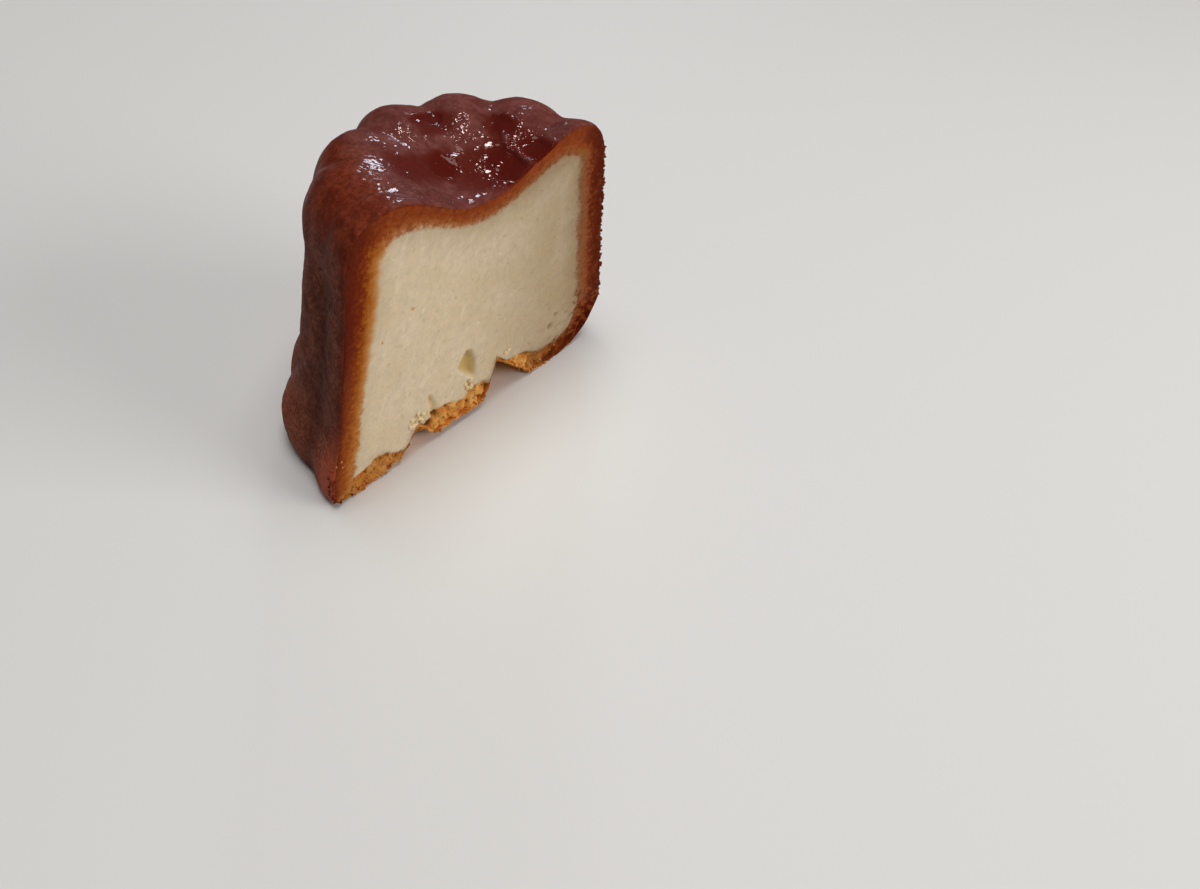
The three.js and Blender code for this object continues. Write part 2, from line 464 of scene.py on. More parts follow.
def write_points(mesh: Mesh, points: Points) -> None:
    """Moves the vertices of a mesh to points in mm."""
    mesh.vertices.foreach_set("co", (points * MM).astype(np.float32).ravel())
    mesh.update()


def read_values(mesh: Mesh, name: str) -> Values:
    """Values of a vertex attribute."""
    return read_floats(mesh.attributes[name].data, "value", 1)


def write_values(mesh: Mesh, name: str, values: Values) -> None:
    """Stores one value for each vertex under a name."""
    attribute = mesh.attributes.get(name) or mesh.attributes.new(name, "FLOAT", "POINT")
    attribute.data.foreach_set("value", values.astype(np.float32))


def keep_in_box(points: Points) -> Points:
    """Keeps points of the shared frame, in mm, inside the solid's box."""
    low, high = (np.array(corner) / MM for corner in CAD_BOX)
    return np.clip(points, low, high)


@dataclass(frozen=True)
class Pattern:
    """Soft noise, carried from one range of values to another."""

    size: float  # mm, of one wave
    detail: float
    rough: float
    low: float  # the noise here gives the start, and at high the end
    high: float
    start: float = 0.0
    end: float = 1.0


@dataclass(frozen=True)
class Wire:
    """A value on its way through a node tree. Reckoning with it adds a node."""

    bench: "NodeBench"
    socket: NodeSocket

    def __add__(self, other: "Wire | float") -> "Wire":
        """Adds to the value."""
        return self.bench.math("ADD", self, other)

    def __sub__(self, other: "Wire | float") -> "Wire":
        """Takes from the value."""
        return self.bench.math("SUBTRACT", self, other)

    def __rsub__(self, other: float) -> "Wire":
        """Takes the value from a number."""
        return self.bench.math("SUBTRACT", other, self)

    def __mul__(self, other: "Wire | float") -> "Wire":
        """Multiplies the value."""
        return self.bench.math("MULTIPLY", self, other)

    def at_least(self, other: "Wire | float") -> "Wire":
        """The larger of the two."""
        return self.bench.math("MAXIMUM", self, other)


class NodeBench:
    """Adds nodes to a tree and wires them."""

    at: Wire  # the place on the object

    def __init__(self, tree: NodeTree) -> None:
        """Works on one tree."""
        self.tree = tree

    def connect(self, socket: NodeSocket, value: object) -> None:
        """Links a wire to an input, or sets a constant on it.

        Args:
            socket: the input.
            value: the wire or the constant.
        """
        if isinstance(value, Wire):
            self.tree.links.new(value.socket, socket)
        else:
            socket.default_value = value

    def add(self, kind: str, inputs: dict[str | int, object], **settings: object) -> Node:
        """Adds one node.

        Args:
            kind: its type's name.
            inputs: for each input, by name or number, a wire or a constant.
            settings: the node's own properties.

        Returns:
            The new node.
        """
        node = self.tree.nodes.new(kind)
        for name, value in settings.items():
            setattr(node, name, value)
        for key, value in inputs.items():
            self.connect(node.inputs[key], value)
        return node

    def take(self, output: str | int, kind: str, inputs: dict[str | int, object], **settings: object) -> Wire:
        """Adds one node and takes one of its outputs."""
        return Wire(self, self.add(kind, inputs, **settings).outputs[output])

    def math(self, operation: str, a: object, b: object, clamp: bool = False) -> Wire:
        """Works out a with b."""
        return self.take(0, "ShaderNodeMath", {0: a, 1: b}, operation=operation, use_clamp=clamp)

    def shift(self, operation: str, a: object, b: object) -> Wire:
        """Works out one place or direction with another."""
        return self.take(0, "ShaderNodeVectorMath", {0: a, 1: b}, operation=operation)

    def mix(self, share: object, a: object, b: object, blend: str = "MIX") -> Wire:
        """Goes from colour a to colour b."""
        inputs = {0: share, 6: a, 7: b}
        return self.take(2, "ShaderNodeMix", inputs, data_type="RGBA", blend_type=blend)

    def noise(
        self, size: float, detail: float, rough: float, output: str = "Fac", at: Wire | None = None
    ) -> Wire:
        """Soft noise with waves of a size in mm, from 0 to 1, or a colour of it."""
        inputs = {"Vector": at or self.at, "Scale": 1.0 / (size * MM), "Detail": detail, "Roughness": rough}
        return self.take(output, "ShaderNodeTexNoise", inputs)

    def cells(self, size: float, at: Wire | None = None) -> tuple[Wire, Wire]:
        """Irregular cells of a mean size in mm.

        Args:
            size: the size.
            at: places that the cells are looked up at, if not the object's own.

        Returns:
            The distance from the heart of a cell, and a colour that each cell has.
        """
        node = self.add("ShaderNodeTexVoronoi", {"Vector": at or self.at, "Scale": 1.0 / (size * MM)})
        return Wire(self, node.outputs["Distance"]), Wire(self, node.outputs["Color"])

    def remap(self, value: object, low: float, high: float, start: float = 0.0, end: float = 1.0) -> Wire:
        """Carries a value from one range to another without corners."""
        inputs = {"Value": value, "From Min": low, "From Max": high, "To Min": start, "To Max": end}
        return self.take("Result", "ShaderNodeMapRange", inputs, interpolation_type="SMOOTHSTEP")

    def pattern(self, of: Pattern, at: Wire | None = None) -> Wire:
        """Lays out a pattern."""
        soft = self.noise(of.size, of.detail, of.rough, at=at)
        return self.remap(soft, of.low, of.high, of.start, of.end)

    def ramp(self, value: object, stops: Ramp) -> Wire:
        """Turns a value into a colour.

        Args:
            value: the value.
            stops: places from 0 to 1, each with its colour.

        Returns:
            The colour.
        """
        node = self.add("ShaderNodeValToRGB", {"Fac": value})
        elements = node.color_ramp.elements
        while len(elements) < len(stops):
            elements.new(0.5)
        for element, (place, colour) in zip(elements, stops):
            element.position = place
            element.color = colour
        return Wire(self, node.outputs["Color"])

    def relief(self, height: Wire, depth: float) -> Wire:
        """Normals of fine relief, whose whole height is a depth in mm."""
        inputs = {"Height": height, "Strength": 1.0, "Distance": depth * MM}
        return self.take("Normal", "ShaderNodeBump", inputs)

    def mask(self, mask: Mask) -> Wire:
        """Reads a value painted on the vertices."""
        return self.take("Fac", "ShaderNodeAttribute", {}, attribute_name=mask.value)

    def effect(self, effect: "Effect") -> Wire:
        """Puts an effect into a material, and gives its one output."""
        group = bpy.data.node_groups.get(effect.value) or make_group(effect)
        return self.take(0, "ShaderNodeGroup", {"At": self.at}, node_tree=group)


class MaterialBench(NodeBench):
    """Wires a new material."""

    def __init__(self, name: str) -> None:
        """Starts the material.

        Args:
            name: its name.
        """
        self.material = bpy.data.materials.new(name)
        self.material.use_nodes = True
        super().__init__(self.material.node_tree)
        self.at = self.take("Object", "ShaderNodeTexCoord", {})

    def finish(self, inputs: dict[str, object]) -> Material:
        """Wires the shader.

        Args:
            inputs: for each of its inputs a wire or a constant.

        Returns:
            The material.
        """
        for key, value in inputs.items():
            self.connect(self.tree.nodes["Principled BSDF"].inputs[key], value)
        return self.material


def tint(red: int, green: int, blue: int) -> Colour:
    """A colour as a screen shows it, from 0 to 255, as the light that it stands for."""
    levels = (level / 255.0 for level in (red, green, blue))
    return *(v / 12.92 if v <= 0.04045 else ((v + 0.055) / 1.055) ** 2.4 for v in levels), 1.0


def ramp_of(*stops: tuple[float, int, int, int]) -> Ramp:
    """Stops of a colour ramp from rows of a place and a colour as a screen shows it."""
    return tuple((place, tint(*colour)) for place, *colour in stops)


class Effect(Enum):
    """Effects that finishes share, each a node group with one output."""

    GRAIN = "fine_grain"
    PITS = "small_pits"
    GOLDEN = "golden_crust"


GOLD_LIGHT = tint(246, 184, 102)
GOLD_MIDDLE = tint(226, 144, 60)
GOLD_DEEP = tint(168, 86, 34)


def fine_grain(bench: NodeBench) -> Wire:
    """Height of fine grain, from 0 to 1."""
    return bench.noise(0.28, 3.0, 0.6) * 0.5 + bench.noise(0.75, 2.0, 0.5) * 0.5


def small_pits(bench: NodeBench) -> Wire:
    """Mask of small scattered pits, 1 in their middles."""
    few = bench.pattern(Pattern(1.5, 3.0, 0.6, 0.46, 0.58))
    return bench.remap(bench.cells(0.7)[0], 0.06, 0.4, 1.0, 0.0) * few


def golden_crust(bench: NodeBench) -> Wire:
    """Colour of crust that stayed golden, with darker specks: deeper-baked crust and the painted shade of
    small crevices.
    """
    golden = bench.mix(bench.pattern(Pattern(2.6, 3.0, 0.5, 0.36, 0.64)), GOLD_LIGHT, GOLD_MIDDLE)
    return bench.mix(bench.pattern(Pattern(0.9, 3.0, 0.6, 0.54, 0.72)), golden, GOLD_DEEP)


EFFECTS = {
    Effect.GRAIN: ("Height", "NodeSocketFloat", fine_grain),
    Effect.PITS: ("Mask", "NodeSocketFloat", small_pits),
    Effect.GOLDEN: ("Color", "NodeSocketColor", golden_crust),
}


def make_group(effect: Effect) -> NodeTree:
    """Makes the node group of an effect, with one input for the place.

    Args:
        effect: which effect.

    Returns:
        The group.
    """
    output, kind, make = EFFECTS[effect]
    tree = bpy.data.node_groups.new(effect.value, "ShaderNodeTree")
    tree.interface.new_socket("At", in_out="INPUT", socket_type="NodeSocketVector")
    tree.interface.new_socket(output, in_out="OUTPUT", socket_type=kind)
    bench = NodeBench(tree)
    bench.at = bench.take("At", "NodeGroupInput", {})
    bench.add("NodeGroupOutput", {output: make(bench)})
    return tree


@dataclass(frozen=True)
class SkinFinish:
    """Skin of the cake: dull pitted crust on the sides, wet glaze on the crown, golden underneath."""

    name: str = "crust_skin"
    dark: Colour = tint(97, 47, 33)
    brown: Colour = tint(128, 74, 58)
    red: Colour = tint(118, 51, 33)
    red_deep: Colour = tint(98, 38, 24)
    # glaze and glaze_sheen: the glaze's dark red-brown with a purplish sheen painted in; glaze_sheen is the
    # lighter, more purple
    glaze: Colour = tint(96, 47, 42)
    glaze_sheen: Colour = tint(117, 66, 60)
    glaze_deep: Colour = tint(88, 28, 20)
    # painted highlight on the blister tops, partly their paler skin
    blister_glint: Colour = tint(150, 92, 84)
    pool: Colour = tint(82, 18, 10)
    foot: Colour = tint(144, 84, 62)
    tip: Colour = tint(186, 86, 58)
    shadow: Colour = tint(36, 15, 10)
    browning: Pattern = Pattern(3.5, 5.0, 0.65, 0.36, 0.64)
    reddening: Pattern = Pattern(2.2, 5.0, 0.65, 0.38, 0.62)
    sheen_patches: Pattern = Pattern(1.8, 5.0, 0.7, 0.36, 0.66)
    speckle: Pattern = Pattern(0.5, 3.0, 0.6, 0.3, 0.7, 0.62, 1.36)
    roughness: Pattern = Pattern(1.6, 3.0, 0.5, 0.3, 0.7, 0.5, 0.66)
    small_blisters: Pattern = Pattern(0.9, 2.0, 0.6, 0.46, 0.58)
    large_blisters: Pattern = Pattern(1.9, 2.0, 0.6, 0.5, 0.58)
    blister_wander: Place = (0.0006, 0.0006, 0.0006)  # metres
    relief_depth: float = 0.22  # mm

    def make(self) -> Material:
        """Builds the material.

        Returns:
            The material.
        """
        bench = MaterialBench(self.name)
        glaze, pool, red, low = map(bench.mask, (Mask.GLAZE, Mask.POOL, Mask.RED, Mask.FOOT))
        wet, calm, blistered = map(bench.mask, (Mask.WET, Mask.CALM, Mask.COARSE))
        gold = bench.remap(bench.mask(Mask.GOLD), 0.4, 0.95)
        blisters = self.blisters(bench) * blistered
        pit = bench.effect(Effect.PITS) * (1.0 - glaze) * (1.0 - red * 0.7)

        dry = bench.mix(bench.pattern(self.browning), self.dark, self.brown)
        dry = bench.mix(red, dry, bench.mix(bench.pattern(self.reddening), self.red, self.red_deep))
        dry = bench.mix(low * 0.54, dry, self.foot)
        dry = bench.mix(red * low * 0.8, dry, self.tip)
        # Painted sheen: patches of the lighter, purplish glaze_sheen
        moist = bench.mix(bench.pattern(self.sheen_patches), self.glaze, self.glaze_sheen)
        moist = bench.mix(bench.remap(pool, 0.0, 0.5), moist, self.glaze_deep)
        moist = bench.mix(bench.remap(pool, 0.5, 1.0), moist, self.pool)
        colour = bench.mix(glaze, dry, moist)
        # Painted highlight: pale glints on the tops of the blisters, partly their paler skin
        colour = bench.mix(bench.remap(blisters, 0.5, 0.95) * (wet * 0.4), colour, self.blister_glint)
        speckled = bench.math("ADD", 1.0 - (red * 0.6).at_least(glaze), 0.25, clamp=True)
        colour = bench.mix(speckled, colour, bench.pattern(self.speckle), "MULTIPLY")
        colour = bench.mix(gold, colour, bench.effect(Effect.GOLDEN))
        # Painted shade in pits, flute valleys and crevices, in the shadow colour
        colour = bench.mix((bench.mask(Mask.HOLLOW_SHADE) * 0.66).at_least(pit * 0.8), colour, self.shadow)

        still = 1.0 - bench.remap(pool, 0.5, 1.0) * 0.9
        wrinkles = bench.noise(1.0, 1.0, 0.35) * 0.5 + bench.noise(0.5, 0.0, 0.5) * 0.12 + blisters * 0.27
        film = wrinkles * (still * (1.0 - calm))
        height = (bench.effect(Effect.GRAIN) * 0.5 - pit * 0.45) * (1.0 - wet) + film * (wet * 0.8)
        inputs = {
            "Base Color": colour,
            "Roughness": bench.pattern(self.roughness) - red * 0.1,
            "Specular IOR Level": 0.02,
            "Normal": bench.relief(height, self.relief_depth),
            "Coat Weight": (wet * 0.95).at_least(red * 0.05),
            "Coat Roughness": 0.05,
            "Coat Normal": bench.relief(film, self.relief_depth),
        }
        return bench.finish(inputs)

    def blisters(self, bench: NodeBench) -> Wire:
        """Small blisters in the glaze.

        Args:
            bench: where they are wired.

        Returns:
            Their height, from 0 to 1.
        """
        wander = bench.shift("MULTIPLY", bench.noise(0.9, 2.0, 0.5, output="Color"), self.blister_wander)
        bent = bench.shift("ADD", bench.at, wander)
        small = bench.remap(bench.cells(0.75, bent)[0], 0.0, 0.5, 1.0, 0.0)
        large = bench.remap(bench.cells(1.3, bent)[0], 0.0, 0.42, 1.0, 0.0)
        small = small * bench.pattern(self.small_blisters)
        return small.at_least(large * bench.pattern(self.large_blisters))


@dataclass(frozen=True)
class CutFinish:
    """The cut: crust that goes from red-brown through gold to the pale cream crumb."""

    name: str = "cut_crumb"
    cream: Colour = tint(233, 213, 184)
    cream_warm: Colour = tint(227, 205, 170)
    cream_grey: Colour = tint(222, 203, 172)
    cream_light: Colour = tint(248, 232, 206)
    cream_spot: Colour = tint(206, 184, 148)
    toasting_and_shading: Colour = (0.53, 0.475, 0.41, 1.0)  # multiplies the crumb's colour where it is toasted and where shade is painted on it
    # painted shade of pores, crevices and gaps, mixed in by the hollow mask
    pore_shade: Colour = tint(144, 110, 58)
    crevice_shade: Colour = tint(70, 28, 10)
    golden_crevice_shade: Colour = tint(128, 66, 24)
    gap_shade: Colour = tint(80, 42, 13)
    bubble: Colour = tint(206, 174, 100)
    bit_light: Colour = tint(176, 96, 48)
    bit_dark: Colour = tint(66, 24, 8)
    crust: Ramp = ramp_of(
        *((0.0, 98, 40, 22), (0.16, 94, 28, 9), (0.34, 108, 37, 10), (0.56, 132, 54, 12)),
        *((0.72, 166, 90, 24), (0.86, 194, 124, 58), (1.0, 212, 164, 110)),
    )  # by the share of the crust's thickness
    crust_top: Ramp = ramp_of(
        *((0.0, 136, 58, 24), (0.4, 144, 63, 21), (0.62, 152, 74, 32)),
        *((0.78, 176, 102, 56), (0.9, 200, 134, 90), (1.0, 214, 166, 122)),
    )
    crust_blunt: Ramp = ramp_of(
        *((0.0, 96, 36, 16), (0.2, 92, 26, 0), (0.44, 106, 36, 2)),
        *((0.62, 142, 69, 34), (0.8, 172, 109, 66), (1.0, 196, 150, 112)),
    )
    crust_pale: Ramp = ramp_of(
        *((0.0, 130, 58, 24), (0.4, 163, 82, 30), (0.7, 188, 111, 43)),
        *((0.86, 202, 140, 80), (1.0, 218, 178, 128)),
    )
    wander: Pattern = Pattern(1.4, 4.0, 0.6, 0.3, 0.7, -0.045, 0.045)  # of the bands of the crust
    spots: Pattern = Pattern(0.6, 3.0, 0.6, 0.3, 0.7, -0.12, 0.12)
    crumbly: Pattern = Pattern(0.8, 4.0, 0.7, 0.3, 0.7, -0.15, 0.15)
    bits: Pattern = Pattern(1.0, 3.0, 0.6, 0.52, 0.62)
    specks: Pattern = Pattern(0.8, 3.0, 0.6, 0.4, 0.47, 1.0, 0.0)
    warming: Pattern = Pattern(6.0, 4.0, 0.6, 0.35, 0.65)
    greying: Pattern = Pattern(1.6, 4.0, 0.6, 0.36, 0.72)
    dusting: Pattern = Pattern(1.0, 2.0, 0.5, 0.62, 0.76, 0.0, 0.6)
    drags: Pattern = Pattern(2.0, 3.0, 0.6, 0.56, 0.76)
    drag_angle: float = math.radians(74)  # of the marks that the knife dragged, over the base
    drag_length: float = 4.0  # of a mark, against its width
    roughness: Pattern = Pattern(0.8, 3.0, 0.5, 0.3, 0.7, 0.55, 0.7)
    relief_depth: float = 0.11  # mm

    def make(self) -> Material:
        """Builds the material.

        Returns:
            The material.
        """
        bench = MaterialBench(self.name)
        depth, coarse = bench.mask(Mask.DEPTH), bench.mask(Mask.COARSE)
        hollow, grain = bench.mask(Mask.HOLLOW_SHADE), bench.effect(Effect.GRAIN)
        base = bench.math("SUBTRACT", bench.mask(Mask.GOLD) * 2.0, 1.0, clamp=True)

        outer = 1.0 - bench.remap(depth, 0.5, 0.95)
        wander = bench.pattern(self.wander) + bench.pattern(self.spots) * outer
        place = depth + (wander + bench.pattern(self.crumbly) * coarse)
        crust = self.crust_colour(bench, place, base)
        rough = coarse * (1.0 - base)
        crust = bench.mix(bench.pattern(self.bits) * rough * 0.55, crust, self.bit_light)
        crust = bench.mix(bench.pattern(self.specks) * rough * 0.55, crust, self.bit_dark)

        cream = self.cream_colour(bench)
        cream = bench.mix(1.0, cream, bench.remap(grain, 0.25, 0.75, 0.92, 1.06), "MULTIPLY")
        colour = bench.mix(bench.remap(place, 0.92, 1.12), crust, cream)
        # Toasting near the crust, and painted shade that deepens towards the blunt end and the top
        toast_and_shade = bench.mask(Mask.TOAST_AND_SHADE) * bench.remap(place, 0.55, 0.95)
        colour = bench.mix(toast_and_shade, colour, self.toasting_and_shading, "MULTIPLY")
        # Painted shade in crevices, pores and gaps, in the crust's and the crumb's tones
        hole = bench.mix(base, self.crevice_shade, self.golden_crevice_shade)
        hole = bench.mix(bench.remap(depth, 0.8, 1.0), hole, self.pore_shade)
        hole = bench.mix(bench.remap(hollow, 0.9, 1.1), hole, self.gap_shade)
        colour = bench.mix(hollow * 0.7, colour, hole)
        inputs = {
            "Base Color": bench.mix(bench.mask(Mask.POOL) * 0.85, colour, self.bubble),
            "Roughness": bench.pattern(self.roughness),
            "Normal": bench.relief(grain, self.relief_depth),
            "Specular IOR Level": 0.04,
        }
        return bench.finish(inputs)

    def crust_colour(self, bench: NodeBench, place: Wire, base: Wire) -> Wire:
        """Bands of the crust.

        Args:
            bench: where they are wired.
            place: share of the crust's thickness, from the skin inwards.
            base: 1 where it is golden.

        Returns:
            The colour.
        """
        top = bench.ramp(place, self.crust_top)
        dark = bench.mix(bench.mask(Mask.GLAZE), bench.ramp(place, self.crust), top)
        dark = bench.mix(bench.mask(Mask.RED), dark, bench.ramp(place, self.crust_blunt))
        share = bench.math("MULTIPLY", bench.mask(Mask.GOLD), 2.0, clamp=True)
        crust = bench.mix(share, dark, bench.ramp(place, self.crust_pale))
        inner = 1.0 - bench.remap(place, 0.78, 0.98)
        return bench.mix(base * inner, crust, bench.effect(Effect.GOLDEN))

    def cream_colour(self, bench: NodeBench) -> Wire:
        """Clouds, dust, flecks and knife marks of the crumb.

        Args:
            bench: where they are wired.

        Returns:
            The colour.
        """
        cream = bench.mix(bench.pattern(self.warming), self.cream, self.cream_warm)
        cream = bench.mix(bench.pattern(self.greying), cream, self.cream_grey)
        cream = bench.mix(bench.pattern(self.dusting), cream, self.cream_spot)
        turned = (0.0, -self.drag_angle, 0.0)
        inputs = {"Vector": bench.at, "Rotation": turned, "Scale": (self.drag_length, 1.0, 1.0)}
        along = bench.take(0, "ShaderNodeMapping", inputs, vector_type="TEXTURE")
        distance, pick = bench.cells(1.7)
        flecks = bench.remap(distance, 0.08, 0.26, 1.0, 0.0) * bench.remap(pick, 0.5, 0.7)
        light = (flecks * 0.8).at_least(bench.pattern(self.drags, along) * 0.4)
        return bench.mix(light, cream, self.cream_light)


@dataclass(frozen=True)
class Patch:
    """An oval place on the crown or on the cut, in mm."""

    x: float
    y: float  # across the crown, or height on the cut
    half_x: float
    half_y: float

    def away(self, x: Values, y: Values) -> Values:
        """Distance from the middle, 1 on the outline."""
        return np.hypot((x - self.x) / self.half_x, (y - self.y) / self.half_y)


Patches = tuple[Patch, ...]


def ovals(*rows: tuple[float, float, float, float]) -> Patches:
    """Patches from rows of their four numbers."""
    return tuple(Patch(*row) for row in rows)


def nearest(places: Patches, x: Values, y: Values) -> Values:
    """Distance from the middle of the nearest patch, 1 on its outline."""
    return np.min([place.away(x, y) for place in places], axis=0)


def beside_line(x: Values, y: Values, line: Line) -> Values:
    """Distance of points from a line of straight runs.

    Args:
        x: places of the points.
        y: the same, the other way.
        line: the corners of the line.

    Returns:
        The distance of each point, in mm.
    """
    nearest_run = np.full_like(x, np.inf)
    for (ax, ay), (bx, by) in zip(line, line[1:]):
        run = (bx - ax) ** 2 + (by - ay) ** 2
        share = np.clip(((x - ax) * (bx - ax) + (y - ay) * (by - ay)) / run, 0.0, 1.0)
        away = np.hypot(x - ax - share * (bx - ax), y - ay - share * (by - ay))
        nearest_run = np.minimum(nearest_run, away)
    return nearest_run


def inside_line(x: Values, y: Values, line: Line) -> Values:
    """How far points are inside a closed line of straight runs.

    Args:
        x: places of the points.
        y: the same, the other way.
        line: the corners of the line.

    Returns:
        The distance of each point from the line in mm, below 0 outside it.
    """
    inside = np.zeros(len(x), bool)
    for (ax, ay), (bx, by) in zip(line, line[1:]):
        if ay != by:
            inside ^= ((ay > y) != (by > y)) & (x < ax + (y - ay) * (bx - ax) / (by - ay))
    return beside_line(x, y, line) * np.where(inside, 1.0, -1.0)


@dataclass(frozen=True)
class SkinRelief:
    """Lumps, pits, wrinkles and pools of the skin. Sizes in mm, heights outwards."""

    form: CakeForm
    pools: Patches = ovals(
        *((5.7, 3.1, 2.5, 3.1), (9.9, 1.6, 2.0, 2.2), (9.7, 7.9, 1.6, 2.0), (-1.5, 7.1, 2.2, 1.8)),
        *((2.6, 14.0, 2.2, 1.1),),
    )
    deep: Patches = ovals(
        *((-5.5, 7.5, 5.0, 3.6), (3.0, 12.5, 4.0, 2.4), (2.6, 4.2, 4.6, 5.0), (9.0, 3.2, 3.4, 5.6)),
    )
    ridge: Line = ((8.6, 6.6), (7.6, 4.6), (8.0, 3.2), (7.7, 1.6), (8.2, 0.0))
    crease: Line = ((11.0, 10.4), (11.0, 8.4), (11.6, 6.6))
    flats: tuple[tuple[Patch, float, float, float], ...] = (
        (Patch(-10.7, 9.1, 1.7, 2.3), -0.208, 0.059, 0.2),
        (Patch(-12.7, 3.7, 1.1, 1.0), -0.201, 0.036, 0.0),
        (Patch(1.5, 7.9, 1.3, 0.9), -0.139, 0.006, 0.4),
        (Patch(11.0, 9.8, 0.6, 0.6), -0.096, -0.007, 0.4),
        (Patch(6.1, 6.6, 0.9, 0.65), 0.173, 0.223, 0.8),
        (Patch(4.5, 5.4, 0.7, 0.6), 0.167, 0.219, 0.85),
        (Patch(3.3, 3.7, 0.85, 0.65), 0.165, 0.214, 0.8),
        (Patch(4.9, 3.5, 0.6, 0.55), 0.168, 0.214, 0.9),
    )  # where the crown is flatter, each with its slopes along x and y and how unwrinkled it is
    dull: Patches = ovals((-9.4, 11.6, 2.2, 0.8), (-12.4, 6.0, 1.6, 0.8), (-5.0, 13.2, 1.4, 1.6))
    blistered: Patches = ovals(
        *((-0.4, 11.2, 2.8, 1.7), (-1.2, 6.9, 3.2, 2.8), (4.5, 12.6, 3.6, 1.5), (8.3, 4.2, 2.2, 3.0)),
        *((11.4, 8.0, 2.6, 1.8), (3.6, 1.6, 4.0, 1.6), (11.2, 2.4, 2.2, 2.8), (-14.0, 2.6, 2.2, 1.8)),
        *((-10.8, 7.0, 2.0, 1.2),),
    )
    late_glaze: Span = (math.radians(110), math.radians(150))  # azimuths where it begins further in
    pit_depth: float = 0.16
    dent_depth: float = 0.07
    blister_height: float = 0.07
    ridge_height: float = 0.24
    crease_height: float = 0.16
    pool_depth: float = 0.14

    def paint(self, points: Points, path: Values) -> tuple[Values, Painting]:
        """Works out the relief and the masks of the skin.

        Args:
            points: its vertices.
            path: their places on the profile.

        Returns:
            How far each vertex moves outwards, and the masks.
        """
        wave = partial(ripple, points)
        x, y, z = points.T
        azimuth = np.arctan2(y, x)
        start = Stretch.SHOULDER + 0.5 + 0.42 * smooth(azimuth, *self.late_glaze)
        wavering = 0.2 * wave(2.6, 1)
        crown = smooth(path + wavering, start, start + 0.35)
        wet = smooth(path + 0.6 * wavering, Stretch.CROWN - 0.04, Stretch.CROWN + 0.12)
        wet *= smooth(y + 0.3 * wave(1.0, 20), 0.3, 1.1)
        dull_edge = 0.3 * wave(1.0, 37)
        for place in self.dull:
            wet *= 1.0 - 0.75 * fall(place.away(x, y) + dull_edge, 0.6, 1.1)
        gold = fall(path + 0.25 * wave(1.8, 2), Stretch.FOOT + 0.1, Stretch.FOOT + 0.8)
        gold *= 1.0 - 0.8 * smooth(x, 9.0, 20.0)
        side = (1.0 - crown) * (1.0 - gold)
        red = side * self.redness(points)
        plain = side * (1.0 - red)

        wavy = 0.22 * wave(1.7, 4) + 0.1 * wave(0.7, 14)
        broad = 0.35 * wave(3.2, 18)
        away = nearest(self.pools, x, y) + 1.6 * wavy
        pool = 0.5 * fall(away, 0.55, 1.25) + 0.5 * fall(away, 0.9, 1.9)
        pool = np.maximum(pool, 0.45 * fall(nearest(self.deep, x, y) + broad, 0.4, 1.2)) * crown
        blistered = np.maximum(0.3, fall(nearest(self.blistered, x, y) + broad, 0.5, 1.2))
        still = smooth(pool, 0.5, 1.0)
        wander = 0.25 * wave(1.2, 15)
        on_ridge = bump(beside_line(x, y, self.ridge) + wander, 0.0, 0.38) * crown
        on_crease = bump(beside_line(x, y, self.crease) + wander, 0.0, 0.34) * crown

        away, pick = cells(points, 1.3, 1)
        pits = plain * (pick > 0.72) * fall(away, 0.05, 0.3)
        dents = plain * np.maximum(ripple(points * np.array([1.0, 1.0, 0.7]), 1.5, 8), 0.0)
        blisters = crown * (pick > 0.45) * fall(away, 0.05, 0.5) * (1.0 - still)
        height = 0.2 * wave(5.5, 5) + 0.08 * wave(2.1, 6)
        height += 0.04 * side * wave(0.9, 7) - self.pit_depth * pits - self.dent_depth * dents
        height += gold * (0.4 * crumbs(points, 1.9, 9) - 0.25 + 0.1 * wave(0.6, 16))
        height += 0.06 * crown * (1.0 - still) * wave(1.1, 10) + self.blister_height * blisters
        height += self.ridge_height * on_ridge + self.crease_height * on_crease
        height -= self.pool_depth * still * (1.0 - on_ridge)
        calm = np.zeros_like(x)
        for place, slope_x, slope_y, unwrinkled in self.flats:
            middle = z[np.argmin(np.hypot(x - place.x, y - place.y) + 100.0 * (crown < 0.5))]
            plane = middle + slope_x * (x - place.x) + slope_y * (y - place.y)
            share = fall(place.away(x, y) + 0.5 * wavy, 0.6, 1.25) * crown
            height += share * np.clip(plane - z - height, -1.0, 1.0)
            calm = np.maximum(calm, unwrinkled * fall(place.away(x, y) + wavy, 0.7, 1.3))
        height += self.ragged(points, gold)

        valley = self.form.valley(azimuth) * self.form.calming(azimuth, z)
        masks = {
            Mask.CALM: calm * crown,
            Mask.FOOT: side * fall(z + 2.0 * wave(3.0, 39), 5.0, 17.0),
            Mask.GLAZE: crown,
            Mask.GOLD: gold,
            Mask.RED: red,
            Mask.POOL: pool * (1.0 - 0.6 * on_ridge),
            Mask.WET: wet,
            Mask.COARSE: blistered * crown,
            # Painted shade in the pits and in the flute valleys
            Mask.HOLLOW_SHADE: np.clip(pits + plain * valley**2, 0.0, 1.0),
        }
        return height, masks

